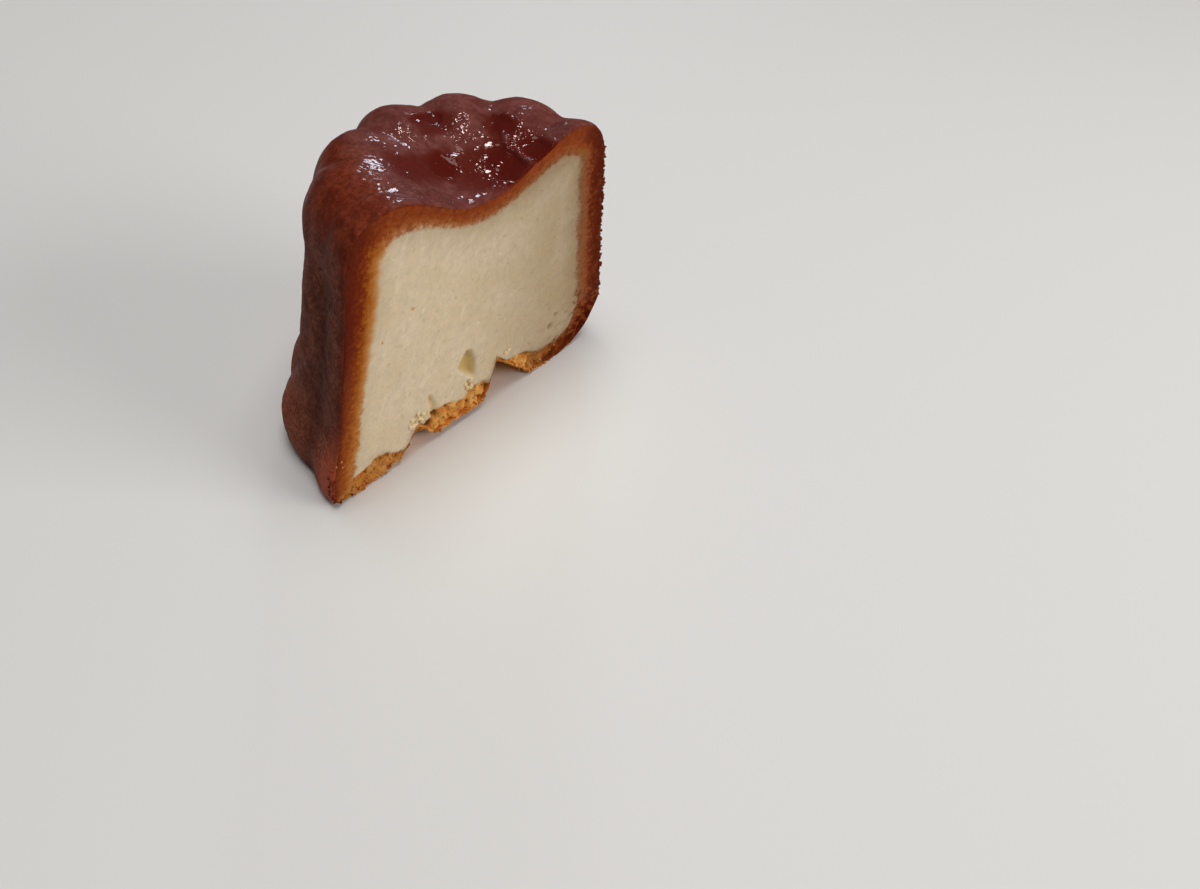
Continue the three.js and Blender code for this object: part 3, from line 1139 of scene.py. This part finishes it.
    def redness(self, points: Points) -> Values:
        """Where the dry skin is thin and shows red: the shoulder, the pointed end and along the cut.

        Args:
            points: vertices of the skin.

        Returns:
            One value for each vertex, 1 where it is reddest.
        """
        x, y, z = points.T
        low = 0.12 * fall(z + 2.0 * ripple(points, 3.0, 17), 3.0, 16.0)
        shoulder = smooth(z + 1.5 * ripple(points, 4.0, 3), 36.5, 41.5)
        tip = fall(x, -26.0, -22.0) * fall(z, 3.0, 12.0) * fall(y, 0.0, 6.0)
        widening = 3.0 * fall(z, 6.0, 20.0)
        near_cut = fall(y + 0.5 * ripple(points, 1.0, 19), 0.1 + 0.4 * widening, 1.5 + widening)
        return np.clip(shoulder + tip + near_cut * smooth(-x, 0.0, 10.0) + low, 0.0, 1.0)

    def ragged(self, points: Points, gold: Values) -> Values:
        """Torn, crumbly edge that the knife left along the blunt end and the base.

        Args:
            points: vertices of the skin.
            gold: where it stayed golden.

        Returns:
            How far each vertex stands out.
        """
        x, y, z = points.T
        teeth = np.maximum(ripple(points, 1.0, 11), 0.0) + 0.4 * ripple(points, 0.5, 12)
        blunt = smooth(x, 15.0, 20.0) * fall(z, 36.0, 40.0)
        tip = smooth(-x, 22.0, 25.0) * fall(z, 8.0, 16.0)
        return fall(y, 0.2, 1.8) * teeth * (0.72 * blunt + 0.36 * gold + 0.1 * tip)


@dataclass(frozen=True)
class CutRelief:
    """Crumb, crust and bubbles of the cut. Sizes in mm, depths inwards from the plane of the cut."""

    crust: CrustMap
    bubble: Line = (
        *((-3.4, 14.6), (-2.2, 13.9), (-1.3, 11.6), (-1.5, 7.8), (-3.4, 9.6), (-4.6, 11.0), (-5.1, 11.9)),
        *((-4.5, 13.2), (-3.4, 14.6)),
    )
    flap: Patch = Patch(-2.8, 7.3, 1.1, 1.3)
    chunk: Line = (
        *((-10.8, 4.9), (-8.9, 6.3), (-7.0, 5.9), (-5.6, 5.7), (-3.9, 5.0), (-2.7, 6.0), (-1.3, 6.1)),
        *((0.9, 5.6), (1.8, 4.4), (1.2, -1.0), (-6.3, -1.0), (-10.8, 2.4), (-10.8, 4.9)),
    )  # golden crust that hangs on between the two torn places
    lobes: Patches = ovals(
        *((-8.2, 3.0, 2.4, 2.3), (-4.7, 3.2, 2.0, 2.3), (-0.9, 3.9, 2.3, 2.4), (9.4, 3.9, 2.6, 1.6)),
        *((13.4, 3.0, 2.4, 1.6), (-19.0, 2.0, 2.4, 1.7), (-23.0, 1.6, 2.0, 1.6)),
    )
    holes: Patches = ovals(
        *((-9.3, 5.3, 1.0, 1.1), (-10.9, 4.8, 0.9, 0.9), (-6.9, 5.6, 0.5, 0.35), (-2.4, 2.8, 0.6, 0.6)),
        *((-3.6, 4.6, 0.4, 0.4), (16.4, 4.5, 0.6, 0.3)),
    )
    crack: Line = ((-10.4, 10.3), (-10.2, 8.8), (-9.7, 7.6), (-9.8, 6.4))
    torn: Patch = Patch(-11.9, 6.8, 1.7, 1.2)
    gaps: Patches = ovals((-8.7, 4.7, 0.6, 0.7), (-10.3, 4.1, 0.9, 1.0))  # painted shade in the gaps between chunk and crumb
    corner: Patch = Patch(-20.4, 5.0, 2.4, 2.2)  # where crumbs blur the border of the crust
    large_pores: Patches = ovals(
        *((21.4, 10.8, 0.55, 0.45), (19.6, 7.6, 0.35, 0.35), (18.3, 8.9, 0.4, 0.35), (15.9, 9.9, 0.4, 0.35)),
        *((14.7, 8.0, 0.55, 0.6), (10.1, 7.2, 0.35, 0.25)),
    )
    specks: Patches = ovals((-13.0, 28.1, 0.33, 0.42), (-18.1, 25.5, 0.2, 0.3))
    bubble_depth: float = 1.2
    crack_depth: float = 0.5
    flap_depth: float = 0.3
    hole_depth: float = 0.4
    large_pore_depth: float = 0.35
    pore_depth: float = 0.14
    border_pore_depth: float = 0.16

    def paint(self, points: Points, outline: Points, path: Values) -> tuple[Values, Values, Painting]:
        """Works out the relief and the masks of the cut.

        Args:
            points: its vertices.
            outline: those of them that are on its outline.
            path: the places of the outline's vertices on the profile.

        Returns:
            How far each vertex moves inwards, how far it is from the outline, and the masks.
        """
        wave = partial(ripple, points)
        x, _, z = points.T
        tree = KDTree(len(outline))
        for i, point in enumerate(outline):
            tree.insert(point, i)
        tree.balance()
        found = [tree.find(point) for point in points]
        near = np.array([row[1] for row in found])
        distance = np.array([row[2] for row in found])
        at = path[near]
        outline_x = outline[near, 0]
        thick = self.crust.thickness(outline_x, at)
        depth = self.crust_depth(points, distance / thick)

        base = fall(at, Stretch.FOOT + 0.3, Stretch.FOOT + 1.1) * fall(x, 9.0, 21.0)
        base *= 1.0 - 0.35 * smooth(-x, 13.0, 18.0)
        blunt = smooth(outline_x, 11.0, 16.0) * fall(at, Stretch.SHOULDER + 0.1, Stretch.CROWN)
        low = fall(z, 8.0, 30.0) * smooth(-x, 5.0, 15.0)
        top = smooth(at, Stretch.SHOULDER + 0.5, Stretch.CROWN + 0.15)
        coarse = np.maximum(base, blunt)
        crumb = smooth(depth, 0.85, 1.1)
        in_crust = 1.0 - crumb

        away, pick = cells(points, 1.6, 24)
        by_crust = blunt * fall(depth, 1.3, 2.6) * fall(z, 14.0, 26.0)
        pores = crumb * (pick > 0.9 - 0.3 * by_crust) * fall(away, 0.04, 0.16 + 0.06 * by_crust)
        away, pick = cells(points, 0.95, 25)
        at_border = bump(depth, 1.04, 0.16) * (0.15 + 0.85 * coarse)
        border_pores = at_border * (pick > 0.76) * fall(away, 0.08, 0.34) * (1.0 - 0.7 * base)
        drag = ripple(points * np.array([1.0, 1.0, 0.32]) + np.outer(z, [-0.45, 0.0, 0.0]), 1.6, 26)
        inwards = 0.2 * smooth(distance, 0.0, 1.6) + 0.06 * wave(3.5, 27) + 0.03 * crumb * drag
        inwards += in_crust * (0.03 + 0.1 * coarse) * wave(0.7, 23)
        inwards += self.pore_depth * pores + self.border_pore_depth * border_pores

        large_crumbs, small_crumbs = crumbs(points, 2.3, 28), crumbs(points, 1.0, 22)
        crevices = np.maximum(fall(large_crumbs, 0.0, 0.35), 0.4 * fall(small_crumbs, 0.0, 0.4))
        crumbling = np.maximum(base, 0.8 * blunt * fall(z, 6.0, 11.0)) * in_crust
        wavy = 0.2 * wave(1.7, 29) + 0.14 * wave(0.7, 30)
        bulge = fall(nearest(self.lobes, x, z) + wavy, 0.1, 1.1)
        inwards += crumbling * (1.4 - 0.5 * bulge - 0.8 * large_crumbs - 0.3 * small_crumbs)

        bubble = smooth(inside_line(x, z, self.bubble) + 0.25 * wave(1.5, 33), -0.15, 0.75)
        crack_top = self.crack[0][1]
        crack = bump(beside_line(x, z, self.crack), 0.0, 0.2 + 0.12 * (crack_top - np.minimum(z, crack_top)))
        torn = fall(self.torn.away(x, z) + 2.0 * wavy, 0.4, 1.1) * crumb
        hole = fall(nearest(self.holes, x, z) + wavy, 0.5, 1.0)
        large = fall(nearest(self.large_pores, x, z) + wavy, 0.4, 1.1)
        inwards += self.bubble_depth * bubble * (1.0 - 0.6 * smooth(x, -3.0, -1.2))
        inwards += self.crack_depth * crack + torn * (0.45 - 0.25 * large_crumbs - 0.2 * small_crumbs)
        inwards += self.flap_depth * fall(self.flap.away(x, z) + wavy, 0.3, 1.1)
        inwards += self.hole_depth * hole * (1.0 + smooth(-x, 8.5, 9.5)) + self.large_pore_depth * large

        speck = fall(nearest(self.specks, x, z) + wavy, 0.5, 1.1)
        bare = (thick < 1.0) * fall(distance, 0.4, 1.6)
        # Painted shade: the crumb darkens towards the blunt end and under the crown; near the crust it is
        # toasted, where bare it is tinted
        toast_and_shade = np.maximum(0.85 * smooth(x + 1.5 * wave(6.0, 32), -10.0, 22.0), 0.7 * bare)
        toast_and_shade += 0.3 * smooth(at, Stretch.SHOULDER + 0.9, Stretch.CROWN + 0.3) * fall(distance, 3.0, 8.0)
        toast_and_shade += 0.2 * fall(depth, 1.0, 1.7)
        broken = np.maximum(base, blunt * (1.0 - 0.65 * smooth(z, 8.0, 14.0)))
        # Darker towards both ends of the base, added to the shade mask
        darker_base_ends = 0.75 * base * in_crust * np.maximum(smooth(-x, 12.5, 16.0), 0.8 * smooth(x, 8.0, 12.0))
        # Painted shade: pores, holes, crevices between crumbs and the gaps by the chunk
        hollow = 0.7 * pores + 0.5 * border_pores + large + 1.2 * hole
        hollow = np.maximum(hollow, 0.5 * crumbling * crevices + darker_base_ends)
        hollow = np.maximum(hollow, 1.2 * fall(nearest(self.gaps, x, z) + wavy, 0.6, 1.1))
        masks = {
            Mask.DEPTH: np.clip(depth, 0.0, 1.5) * (1.0 - 0.6 * speck),
            Mask.GOLD: np.clip(np.maximum(base, speck) + 0.35 * low, 0.0, 1.0),
            Mask.GLAZE: top,
            Mask.TOAST_AND_SHADE: np.clip(toast_and_shade, 0.0, 1.0),
            Mask.COARSE: np.clip(broken + 0.4 * low + 0.45 * top, 0.0, 1.0),
            Mask.POOL: np.maximum(bubble, np.maximum(0.7 * crack, 0.45 * torn)),
            Mask.RED: blunt,
            Mask.HOLLOW_SHADE: np.clip(hollow, 0.0, 1.2),
        }
        return inwards, distance, masks

    def crust_depth(self, points: Points, share: Values) -> Values:
        """How deep points lie in the crust, with the chunk of the base and the crumbly corner.

        Args:
            points: vertices of the cut.
            share: their distance from the outline, in thicknesses of the crust.

        Returns:
            0 at the skin and 1 where the crumb begins, and more further in.
        """
        x, _, z = points.T
        in_chunk = inside_line(x, z, self.chunk)
        in_chunk += 0.45 * ripple(points, 1.5, 34) + 0.22 * ripple(points, 0.7, 35)
        depth = np.minimum(share, 1.06 - 0.5 * in_chunk + 2.0 * (in_chunk < -0.4))
        depth = np.maximum(depth, 0.3 * smooth(in_chunk, 0.0, 0.4)) + 0.05 * ripple(points, 3.0, 21)
        corner = bump(self.corner.away(x, z), 0.0, 1.0) * (1.0 + ripple(points, 0.9, 36))
        return depth - 0.22 * np.maximum(corner, 0.0)


@dataclass
class MochiHalf:
    """The half cake: its fluted skin and its cut face, as one closed mesh."""

    form: CakeForm = field(default_factory=CakeForm)
    crust: CrustMap = field(default_factory=CrustMap)
    name: str = "mochi_half"
    cage: tuple[int, ...] = (11, 2, 17, 6, 9)  # steps of the cage along each stretch of the profile
    cage_turns: int = 40  # and round the half
    cuts: int = 5  # each step is cut this many times
    edge_radius: float = 0.9  # mm, of the edge between the skin and the cut
    sharp_angle: float = math.radians(70)  # steeper edges than this are shaded sharp

    def build(self) -> Object:
        """Models the half, dresses it and moves it into the shared frame.

        Returns:
            The half cake.
        """
        obj = self.draw_profile()
        self.turn(obj)
        self.flute(obj)
        self.close_cut(obj)
        self.roughen(obj)
        self.dress(obj)
        place = np.array([CAKE_AXIS_X, CAD_BOX[0][1] / MM, CAD_BOX[0][2] / MM])
        write_points(obj.data, keep_in_box(read_points(obj.data) + place))
        return obj

    def draw_profile(self) -> Object:
        """Draws the profile point by point, from the axis under the cake to the axis on its crown.

        Returns:
            The profile, with each point's place on it as an attribute.
        """
        path = np.concatenate([stretch + np.arange(n) / n for stretch, n in enumerate(self.cage)])
        path = np.append(path, float(len(Stretch)))
        profile = self.form.skin(np.zeros_like(path), path) * MM
        deselect_all()
        bpy.ops.mesh.primitive_plane_add(size=MM)
        obj = bpy.context.active_object
        obj.name = self.name
        bpy.ops.object.mode_set(mode="EDIT")
        bpy.ops.mesh.select_all(action="SELECT")
        bpy.ops.mesh.merge(type="CENTER")
        bpy.ops.transform.translate(value=profile[0])
        for start, end in zip(profile, profile[1:]):
            bpy.ops.mesh.extrude_vertices_move(TRANSFORM_OT_translate={"value": end - start})
        bpy.ops.object.mode_set(mode="OBJECT")
        drawn = read_points(obj.data)
        order = np.array([np.argmin(np.sum((profile / MM - p) ** 2, axis=1)) for p in drawn])
        write_values(obj.data, "path", path[order])
        return obj

    def turn(self, obj: Object) -> None:
        """Turns the profile half round the axis and divides what it sweeps.

        Args:
            obj: the profile.
        """
        edit_all(obj)
        bpy.ops.mesh.spin(steps=self.cage_turns, angle=-math.pi, center=(0, 0, 0), axis=(0, 0, 1))
        bpy.ops.mesh.select_all(action="SELECT")
        bpy.ops.mesh.subdivide(number_cuts=self.cuts)
        bpy.ops.object.mode_set(mode="OBJECT")

    def flute(self, obj: Object) -> None:
        """Moves every point of the turned body out or in to the fluted form.

        Args:
            obj: the turned body.
        """
        points = read_points(obj.data)
        azimuth = np.arctan2(np.maximum(points[:, 1], 0.0), points[:, 0])
        write_points(obj.data, self.form.skin(azimuth, read_values(obj.data, "path")))
        edit_all(obj)
        bpy.ops.mesh.remove_doubles(threshold=1e-6)
        bpy.ops.object.mode_set(mode="OBJECT")

    def close_cut(self, obj: Object) -> None:
        """Fills the open cut with a grid of faces, which starts at the middle of the blunt end's foot.

        Args:
            obj: the fluted body.
        """
        edit_all(obj)
        bpy.ops.mesh.select_all(action="DESELECT")
        bpy.ops.mesh.select_non_manifold(
            extend=False, use_wire=False, use_multi_face=False, use_non_contiguous=False, use_verts=False
        )
        shape = bmesh.from_edit_mesh(obj.data)
        corner_path = Stretch.FOOT + 0.5
        path = shape.verts.layers.float["path"]
        rim = [v for v in shape.verts if v.select and v.co.x > 0.0]
        corner = min(rim, key=lambda v: abs(v[path] - corner_path))
        shape.select_history.clear()
        shape.select_history.add(corner)
        across = 2 * (self.cage[0] + self.cage[1] // 2) * (self.cuts + 1)
        bpy.ops.mesh.fill_grid(span=across, offset=0, use_interp_simple=True)
        bpy.ops.mesh.select_all(action="SELECT")
        bpy.ops.mesh.normals_make_consistent(inside=False)
        bpy.ops.object.mode_set(mode="OBJECT")

    def roughen(self, obj: Object) -> None:
        """Gives the skin and the cut their relief, and paints the masks that go with it.

        Args:
            obj: the closed body.
        """
        mesh = obj.data
        points = read_points(mesh)
        on_cut, on_skin = np.zeros((2, len(points)), bool)
        for face in mesh.polygons:
            flat = face.normal.y < -0.999 and abs(face.center.y) < 1e-7
            face.material_index = int(flat)
            (on_cut if flat else on_skin)[list(face.vertices)] = True
        edge = on_cut & on_skin
        path = read_values(mesh, "path")
        normals = read_floats(mesh.vertex_normals, "vector", 3)
        normals[edge, 1] = 0.0
        normals /= np.linalg.norm(normals, axis=1, keepdims=True)

        masks = {mask: np.zeros(len(points)) for mask in Mask}
        height, painted = SkinRelief(self.form).paint(points[on_skin], path[on_skin])
        for mask, values in painted.items():
            masks[mask][on_skin] = values
        inwards, distance, painted = CutRelief(self.crust).paint(points[on_cut], points[edge], path[edge])
        for mask, values in painted.items():
            kept = masks[mask][on_cut] if mask in (Mask.GLAZE, Mask.RED) else values
            masks[mask][on_cut] = np.maximum(kept, values)
        for mask, values in masks.items():
            write_values(mesh, mask.value, values)

        outwards = height - self.ease(np.abs(points[on_skin, 1]))
        shift = np.zeros_like(points)
        shift[on_skin] = normals[on_skin] * outwards[:, None]
        shift[on_cut, 1] += np.where(edge[on_cut], 0.0, np.maximum(inwards, 0.0)) + self.ease(distance)
        moved = points + shift
        moved[:, 1:] = np.maximum(moved[:, 1:], 0.0)
        write_points(mesh, moved)

    def ease(self, distance: Values) -> Values:
        """How far the edge of the cut is eased at a distance from it, for a rounded edge."""
        left = np.clip(1.0 - distance / self.edge_radius, 0.0, None)
        return self.edge_radius * (1.0 - np.sqrt(1.0 - left**2 * (1.0 - 0.5 * left)))

    def dress(self, obj: Object) -> None:
        """Puts the finishes on and smooths the shading.

        Args:
            obj: the half cake.
        """
        obj.data.materials.append(SkinFinish().make())
        obj.data.materials.append(CutFinish().make())
        make_active(obj)
        bpy.ops.object.shade_smooth_by_angle(angle=self.sharp_angle)


@dataclass(frozen=True)
class GrainFinish:
    """Grains of crust or flakes of crumb."""

    name: str
    light: Colour
    deep: Colour
    clouds: Pattern = Pattern(1.0, 3.0, 0.6, 0.36, 0.64)
    relief_depth: float = 0.1  # mm

    def make(self) -> Material:
        """Builds the material.

        Returns:
            The material.
        """
        bench = MaterialBench(self.name)
        inputs = {
            "Base Color": bench.mix(bench.pattern(self.clouds), self.light, self.deep),
            "Roughness": 0.6,
            "Specular IOR Level": 0.12,
            "Normal": bench.relief(bench.effect(Effect.GRAIN), self.relief_depth),
        }
        return bench.finish(inputs)


class GrainKind(Enum):
    """Kinds of grains that cling to the torn edges."""

    GOLDEN = "golden_grains"
    DARK = "dark_grains"
    CREAM = "cream_flakes"


@dataclass
class Grains:
    """Grains of one kind that cling to the cake, as one mesh."""

    kind: GrainKind
    slot: Slot
    finish: GrainFinish
    count: int
    sizes: Span  # mm across
    seed: int
    flatness: float = 1.0  # 1 is round
    stretching: Span = (0.7, 1.3)  # of each grain, along its three axes
    turning: Span = (0.0, 6.28)  # radians, about its upright
    standing_off: Span = (0.0, 0.12)  # of its size

    def build(self, half: Object) -> Object:
        """Shapes one grain and sets copies of it on the cake.

        Args:
            half: the finished half cake, in the shared frame.

        Returns:
            All grains of the kind as one object.
        """
        deselect_all()
        bpy.ops.mesh.primitive_uv_sphere_add(segments=6, ring_count=4, radius=0.5 * MM)
        grain = bpy.context.active_object
        edit_all(grain)
        bpy.ops.mesh.quads_convert_to_tris()
        bpy.ops.object.mode_set(mode="OBJECT")
        corners = read_points(grain.data)
        sides = np.array([face.vertices[:] for face in grain.data.polygons])
        bpy.data.objects.remove(grain, do_unlink=True)

        rng = np.random.default_rng(self.seed)
        spots, normals = self.spots(half, rng)
        pieces = []
        for i, (spot, normal) in enumerate(zip(spots, normals)):
            size = rng.uniform(*self.sizes)
            lumpy = corners * np.clip(1.0 + 0.5 * ripple(corners, 0.5, 40 + i % 37), 0.7, 1.5)[:, None]
            lumpy = lumpy * rng.uniform(*self.stretching, 3) * np.array([1.0, 1.0, self.flatness])
            upright = Vector(normal).to_track_quat("Z", "Y").to_matrix()
            turn = upright @ Matrix.Rotation(rng.uniform(*self.turning), 3, "Z")
            away = normal * size * rng.uniform(*self.standing_off)
            pieces.append(lumpy @ np.array(turn).T * size + spot + away)
        mesh = bpy.data.meshes.new(self.kind.value)
        steps = np.arange(len(pieces))[:, None, None] * len(corners)
        faces = (sides[None] + steps).reshape(-1, 3)
        mesh.from_pydata((keep_in_box(np.concatenate(pieces)) * MM).tolist(), [], faces.tolist())
        obj = bpy.data.objects.new(self.kind.value, mesh)
        bpy.context.scene.collection.objects.link(obj)
        obj.data.materials.append(self.finish.make())
        make_active(obj)
        bpy.ops.object.shade_smooth()
        return obj

    def spots(self, half: Object, rng: np.random.Generator) -> tuple[Points, Points]:
        """Picks places for the grains, where the kind of them belongs.

        Args:
            half: the half cake.
            rng: the source of chance.

        Returns:
            The places and the directions out of the surface there.
        """
        mesh = half.data
        points = read_points(mesh)
        in_cut = read_values(mesh, Mask.DEPTH.value) > 0.3
        # Operators number the skin's vertices anew in each run, so those are taken by height.
        order = np.lexsort((*points.T, np.where(in_cut, np.arange(len(points)), -1)))
        points = points[order]
        x = points[:, 0] - CAKE_AXIS_X
        y = points[:, 1] - points[:, 1].min()
        z = points[:, 2]
        painted = (Mask.GOLD, Mask.DEPTH, Mask.HOLLOW_SHADE)
        gold, depth, hollow = (read_values(mesh, mask.value)[order] for mask in painted)
        match self.kind:
            case GrainKind.GOLDEN:  # by the cut, most at the bottom and fewer between the torn places
                weight = gold * (depth < 0.95) * fall(y, 0.8, 3.0) * (z < 9.0)
                weight *= (1.0 - 0.7 * (z > 3.0)) * (1.0 - 0.7 * ((x > -16.0) & (x < 7.0)))
            case GrainKind.DARK:  # along the blunt edge and at the tip
                blunt = (x > 17.0) * (z > 6.0) * (z < 37.0)
                tip = (x < -24.0) * (z < 6.0)
                weight = (blunt + tip) * (depth < 0.1) * fall(y, 0.3, 1.4)
            case GrainKind.CREAM:  # in a torn place, under the bubble and over the other torn place
                torn = bump(Patch(-12.4, 6.6, 1.1, 1.0).away(x, z), 0.0, 1.0) * (x < -11.5)
                flap = 0.7 * bump(Patch(-2.7, 7.4, 0.6, 0.9).away(x, z), 0.0, 1.0)
                notch = 0.3 * bump(Patch(4.4, 8.9, 0.8, 0.4).away(x, z), 0.0, 1.0)
                weight = (torn + flap + notch) * (depth > 0.3) * (y > 0.2) * (y < 1.5) * (hollow < 0.4)
        chosen = rng.choice(len(points), self.count, replace=False, p=weight / weight.sum())
        return points[chosen], read_floats(mesh.vertex_normals, "vector", 3)[order][chosen]


@dataclass(frozen=True)
class Panel:
    """A soft light. Its place and sides in mm of the shared frame, its power in watts."""

    name: str
    place: Place
    sides: Span
    power: float
    colour: Place
    glossy: bool = True  # whether it is reflected
    diffuse: bool = True  # whether it lights dull surfaces
    target: Place = (0.0, 0.0, 25.0)

    def hang(self) -> None:
        """Hangs the light so that it shines on the cake."""
        data = bpy.data.lights.new(self.name, "AREA")
        data.shape = "RECTANGLE"
        data.size, data.size_y = (side * MM for side in self.sides)
        data.energy = self.power
        data.color = self.colour
        lamp = bpy.data.objects.new(self.name, data)
        bpy.context.scene.collection.objects.link(lamp)
        turn = (Vector(self.target) - Vector(self.place)).to_track_quat("-Z", "Y").to_matrix().to_4x4()
        lamp.matrix_world = Matrix.Translation(Vector(self.place) * MM) @ turn
        lamp.visible_glossy = self.glossy
        lamp.visible_diffuse = self.diffuse


@dataclass(frozen=True)
class Studio:
    """Pale floor, soft lights and the camera. Places in mm of the shared frame."""

    camera_place: Place = (-72.4, -84.4, 110.8)
    camera_aim: Place = (8.7, -32.2, 0.0)  # what the middle of the picture falls on
    camera_roll: float = math.radians(10.6)
    lens: float = 28.8  # mm, over a sensor of full width
    sensor: float = 36.0
    clipping: Span = (0.01, 10.0)  # metres
    panels: tuple[Panel, ...] = (
        Panel("overhead", (40, 20, 700), (460, 460), 3.5, (1.0, 0.98, 0.96), glossy=False),
        Panel("front", (260, -520, 300), (360, 300), 1.95, (1.0, 0.98, 0.95), glossy=False),
        Panel("lamp", (240, 162, 618), (56, 40), 0.18, (1.0, 0.84, 0.82), diffuse=False),
        Panel("window", (1026, 861, 566), (210, 230), 1.4, (0.82, 0.85, 1.0)),
        Panel("ceiling", (-150, -120, 620), (360, 360), 1.3, (1.0, 0.74, 0.68), diffuse=False),
    )
    room_colour: Colour = (0.92, 0.95, 1.0, 1.0)
    room_strength: float = 0.045
    floor_colour: Colour = tint(226, 226, 224)
    floor_roughness: float = 0.6
    floor_side: float = 3.0  # metres

    def camera(self) -> None:
        """Places the camera as the picture was taken."""
        data = bpy.data.cameras.new("camera")
        data.lens = self.lens
        data.sensor_width = self.sensor
        data.clip_start, data.clip_end = self.clipping
        camera = bpy.data.objects.new("camera", data)
        bpy.context.scene.collection.objects.link(camera)
        look = Vector(self.camera_aim) - Vector(self.camera_place)
        turn = look.to_track_quat("-Z", "Y").to_matrix() @ Matrix.Rotation(self.camera_roll, 3, "Z")
        camera.matrix_world = Matrix.Translation(Vector(self.camera_place) * MM) @ turn.to_4x4()
        bpy.context.scene.camera = camera

    def surround(self) -> None:
        """Fills the room with pale light and lays the floor."""
        world = bpy.data.worlds.new("room")
        world.use_nodes = True
        background = world.node_tree.nodes["Background"]
        background.inputs["Color"].default_value = self.room_colour
        background.inputs["Strength"].default_value = self.room_strength
        bpy.context.scene.world = world
        deselect_all()
        bpy.ops.mesh.primitive_plane_add(size=self.floor_side)
        floor = bpy.context.active_object
        floor.name = "floor"
        material = bpy.data.materials.new("pale_floor")
        material.use_nodes = True
        shader = material.node_tree.nodes["Principled BSDF"]
        shader.inputs["Base Color"].default_value = self.floor_colour
        shader.inputs["Roughness"].default_value = self.floor_roughness
        floor.data.materials.append(material)

    def build(self) -> None:
        """Sets everything up around the cake."""
        self.camera()
        self.surround()
        for panel in self.panels:
            panel.hang()
        bpy.context.scene.view_settings.view_transform = "Standard"


GOLDEN_GRAIN = GrainFinish("golden_grain", tint(222, 156, 84), tint(176, 98, 42))
DARK_GRAIN = GrainFinish("dark_grain", tint(128, 54, 22), tint(84, 30, 14))
CREAM_FLAKE = GrainFinish("cream_flake", tint(244, 222, 184), tint(228, 200, 150))
ALL_GRAINS = (
    Grains(GrainKind.GOLDEN, Slot.CRUST, GOLDEN_GRAIN, count=520, sizes=(0.18, 0.46), seed=11),
    Grains(GrainKind.DARK, Slot.CRUST, DARK_GRAIN, count=220, sizes=(0.15, 0.48), seed=12),
    Grains(GrainKind.CREAM, Slot.CRUMB, CREAM_FLAKE, count=26, sizes=(0.5, 1.05), seed=13, flatness=0.6),
)


def main() -> None:
    """Builds the cake and its surroundings, in order."""
    logging.basicConfig(level=logging.INFO, format="%(message)s")
    half = MochiHalf().build()
    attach(half, ROOT)
    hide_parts(CAKE_NODE)
    log.info("%s: %d vertices, %d faces", half.name, len(half.data.vertices), len(half.data.polygons))
    for kind in ALL_GRAINS:
        grains = kind.build(half)
        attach(grains, ROOT)
        log.info("%s: %d faces", grains.name, len(grains.data.polygons))
    Studio().build()


if __name__ == "__main__":
    main()
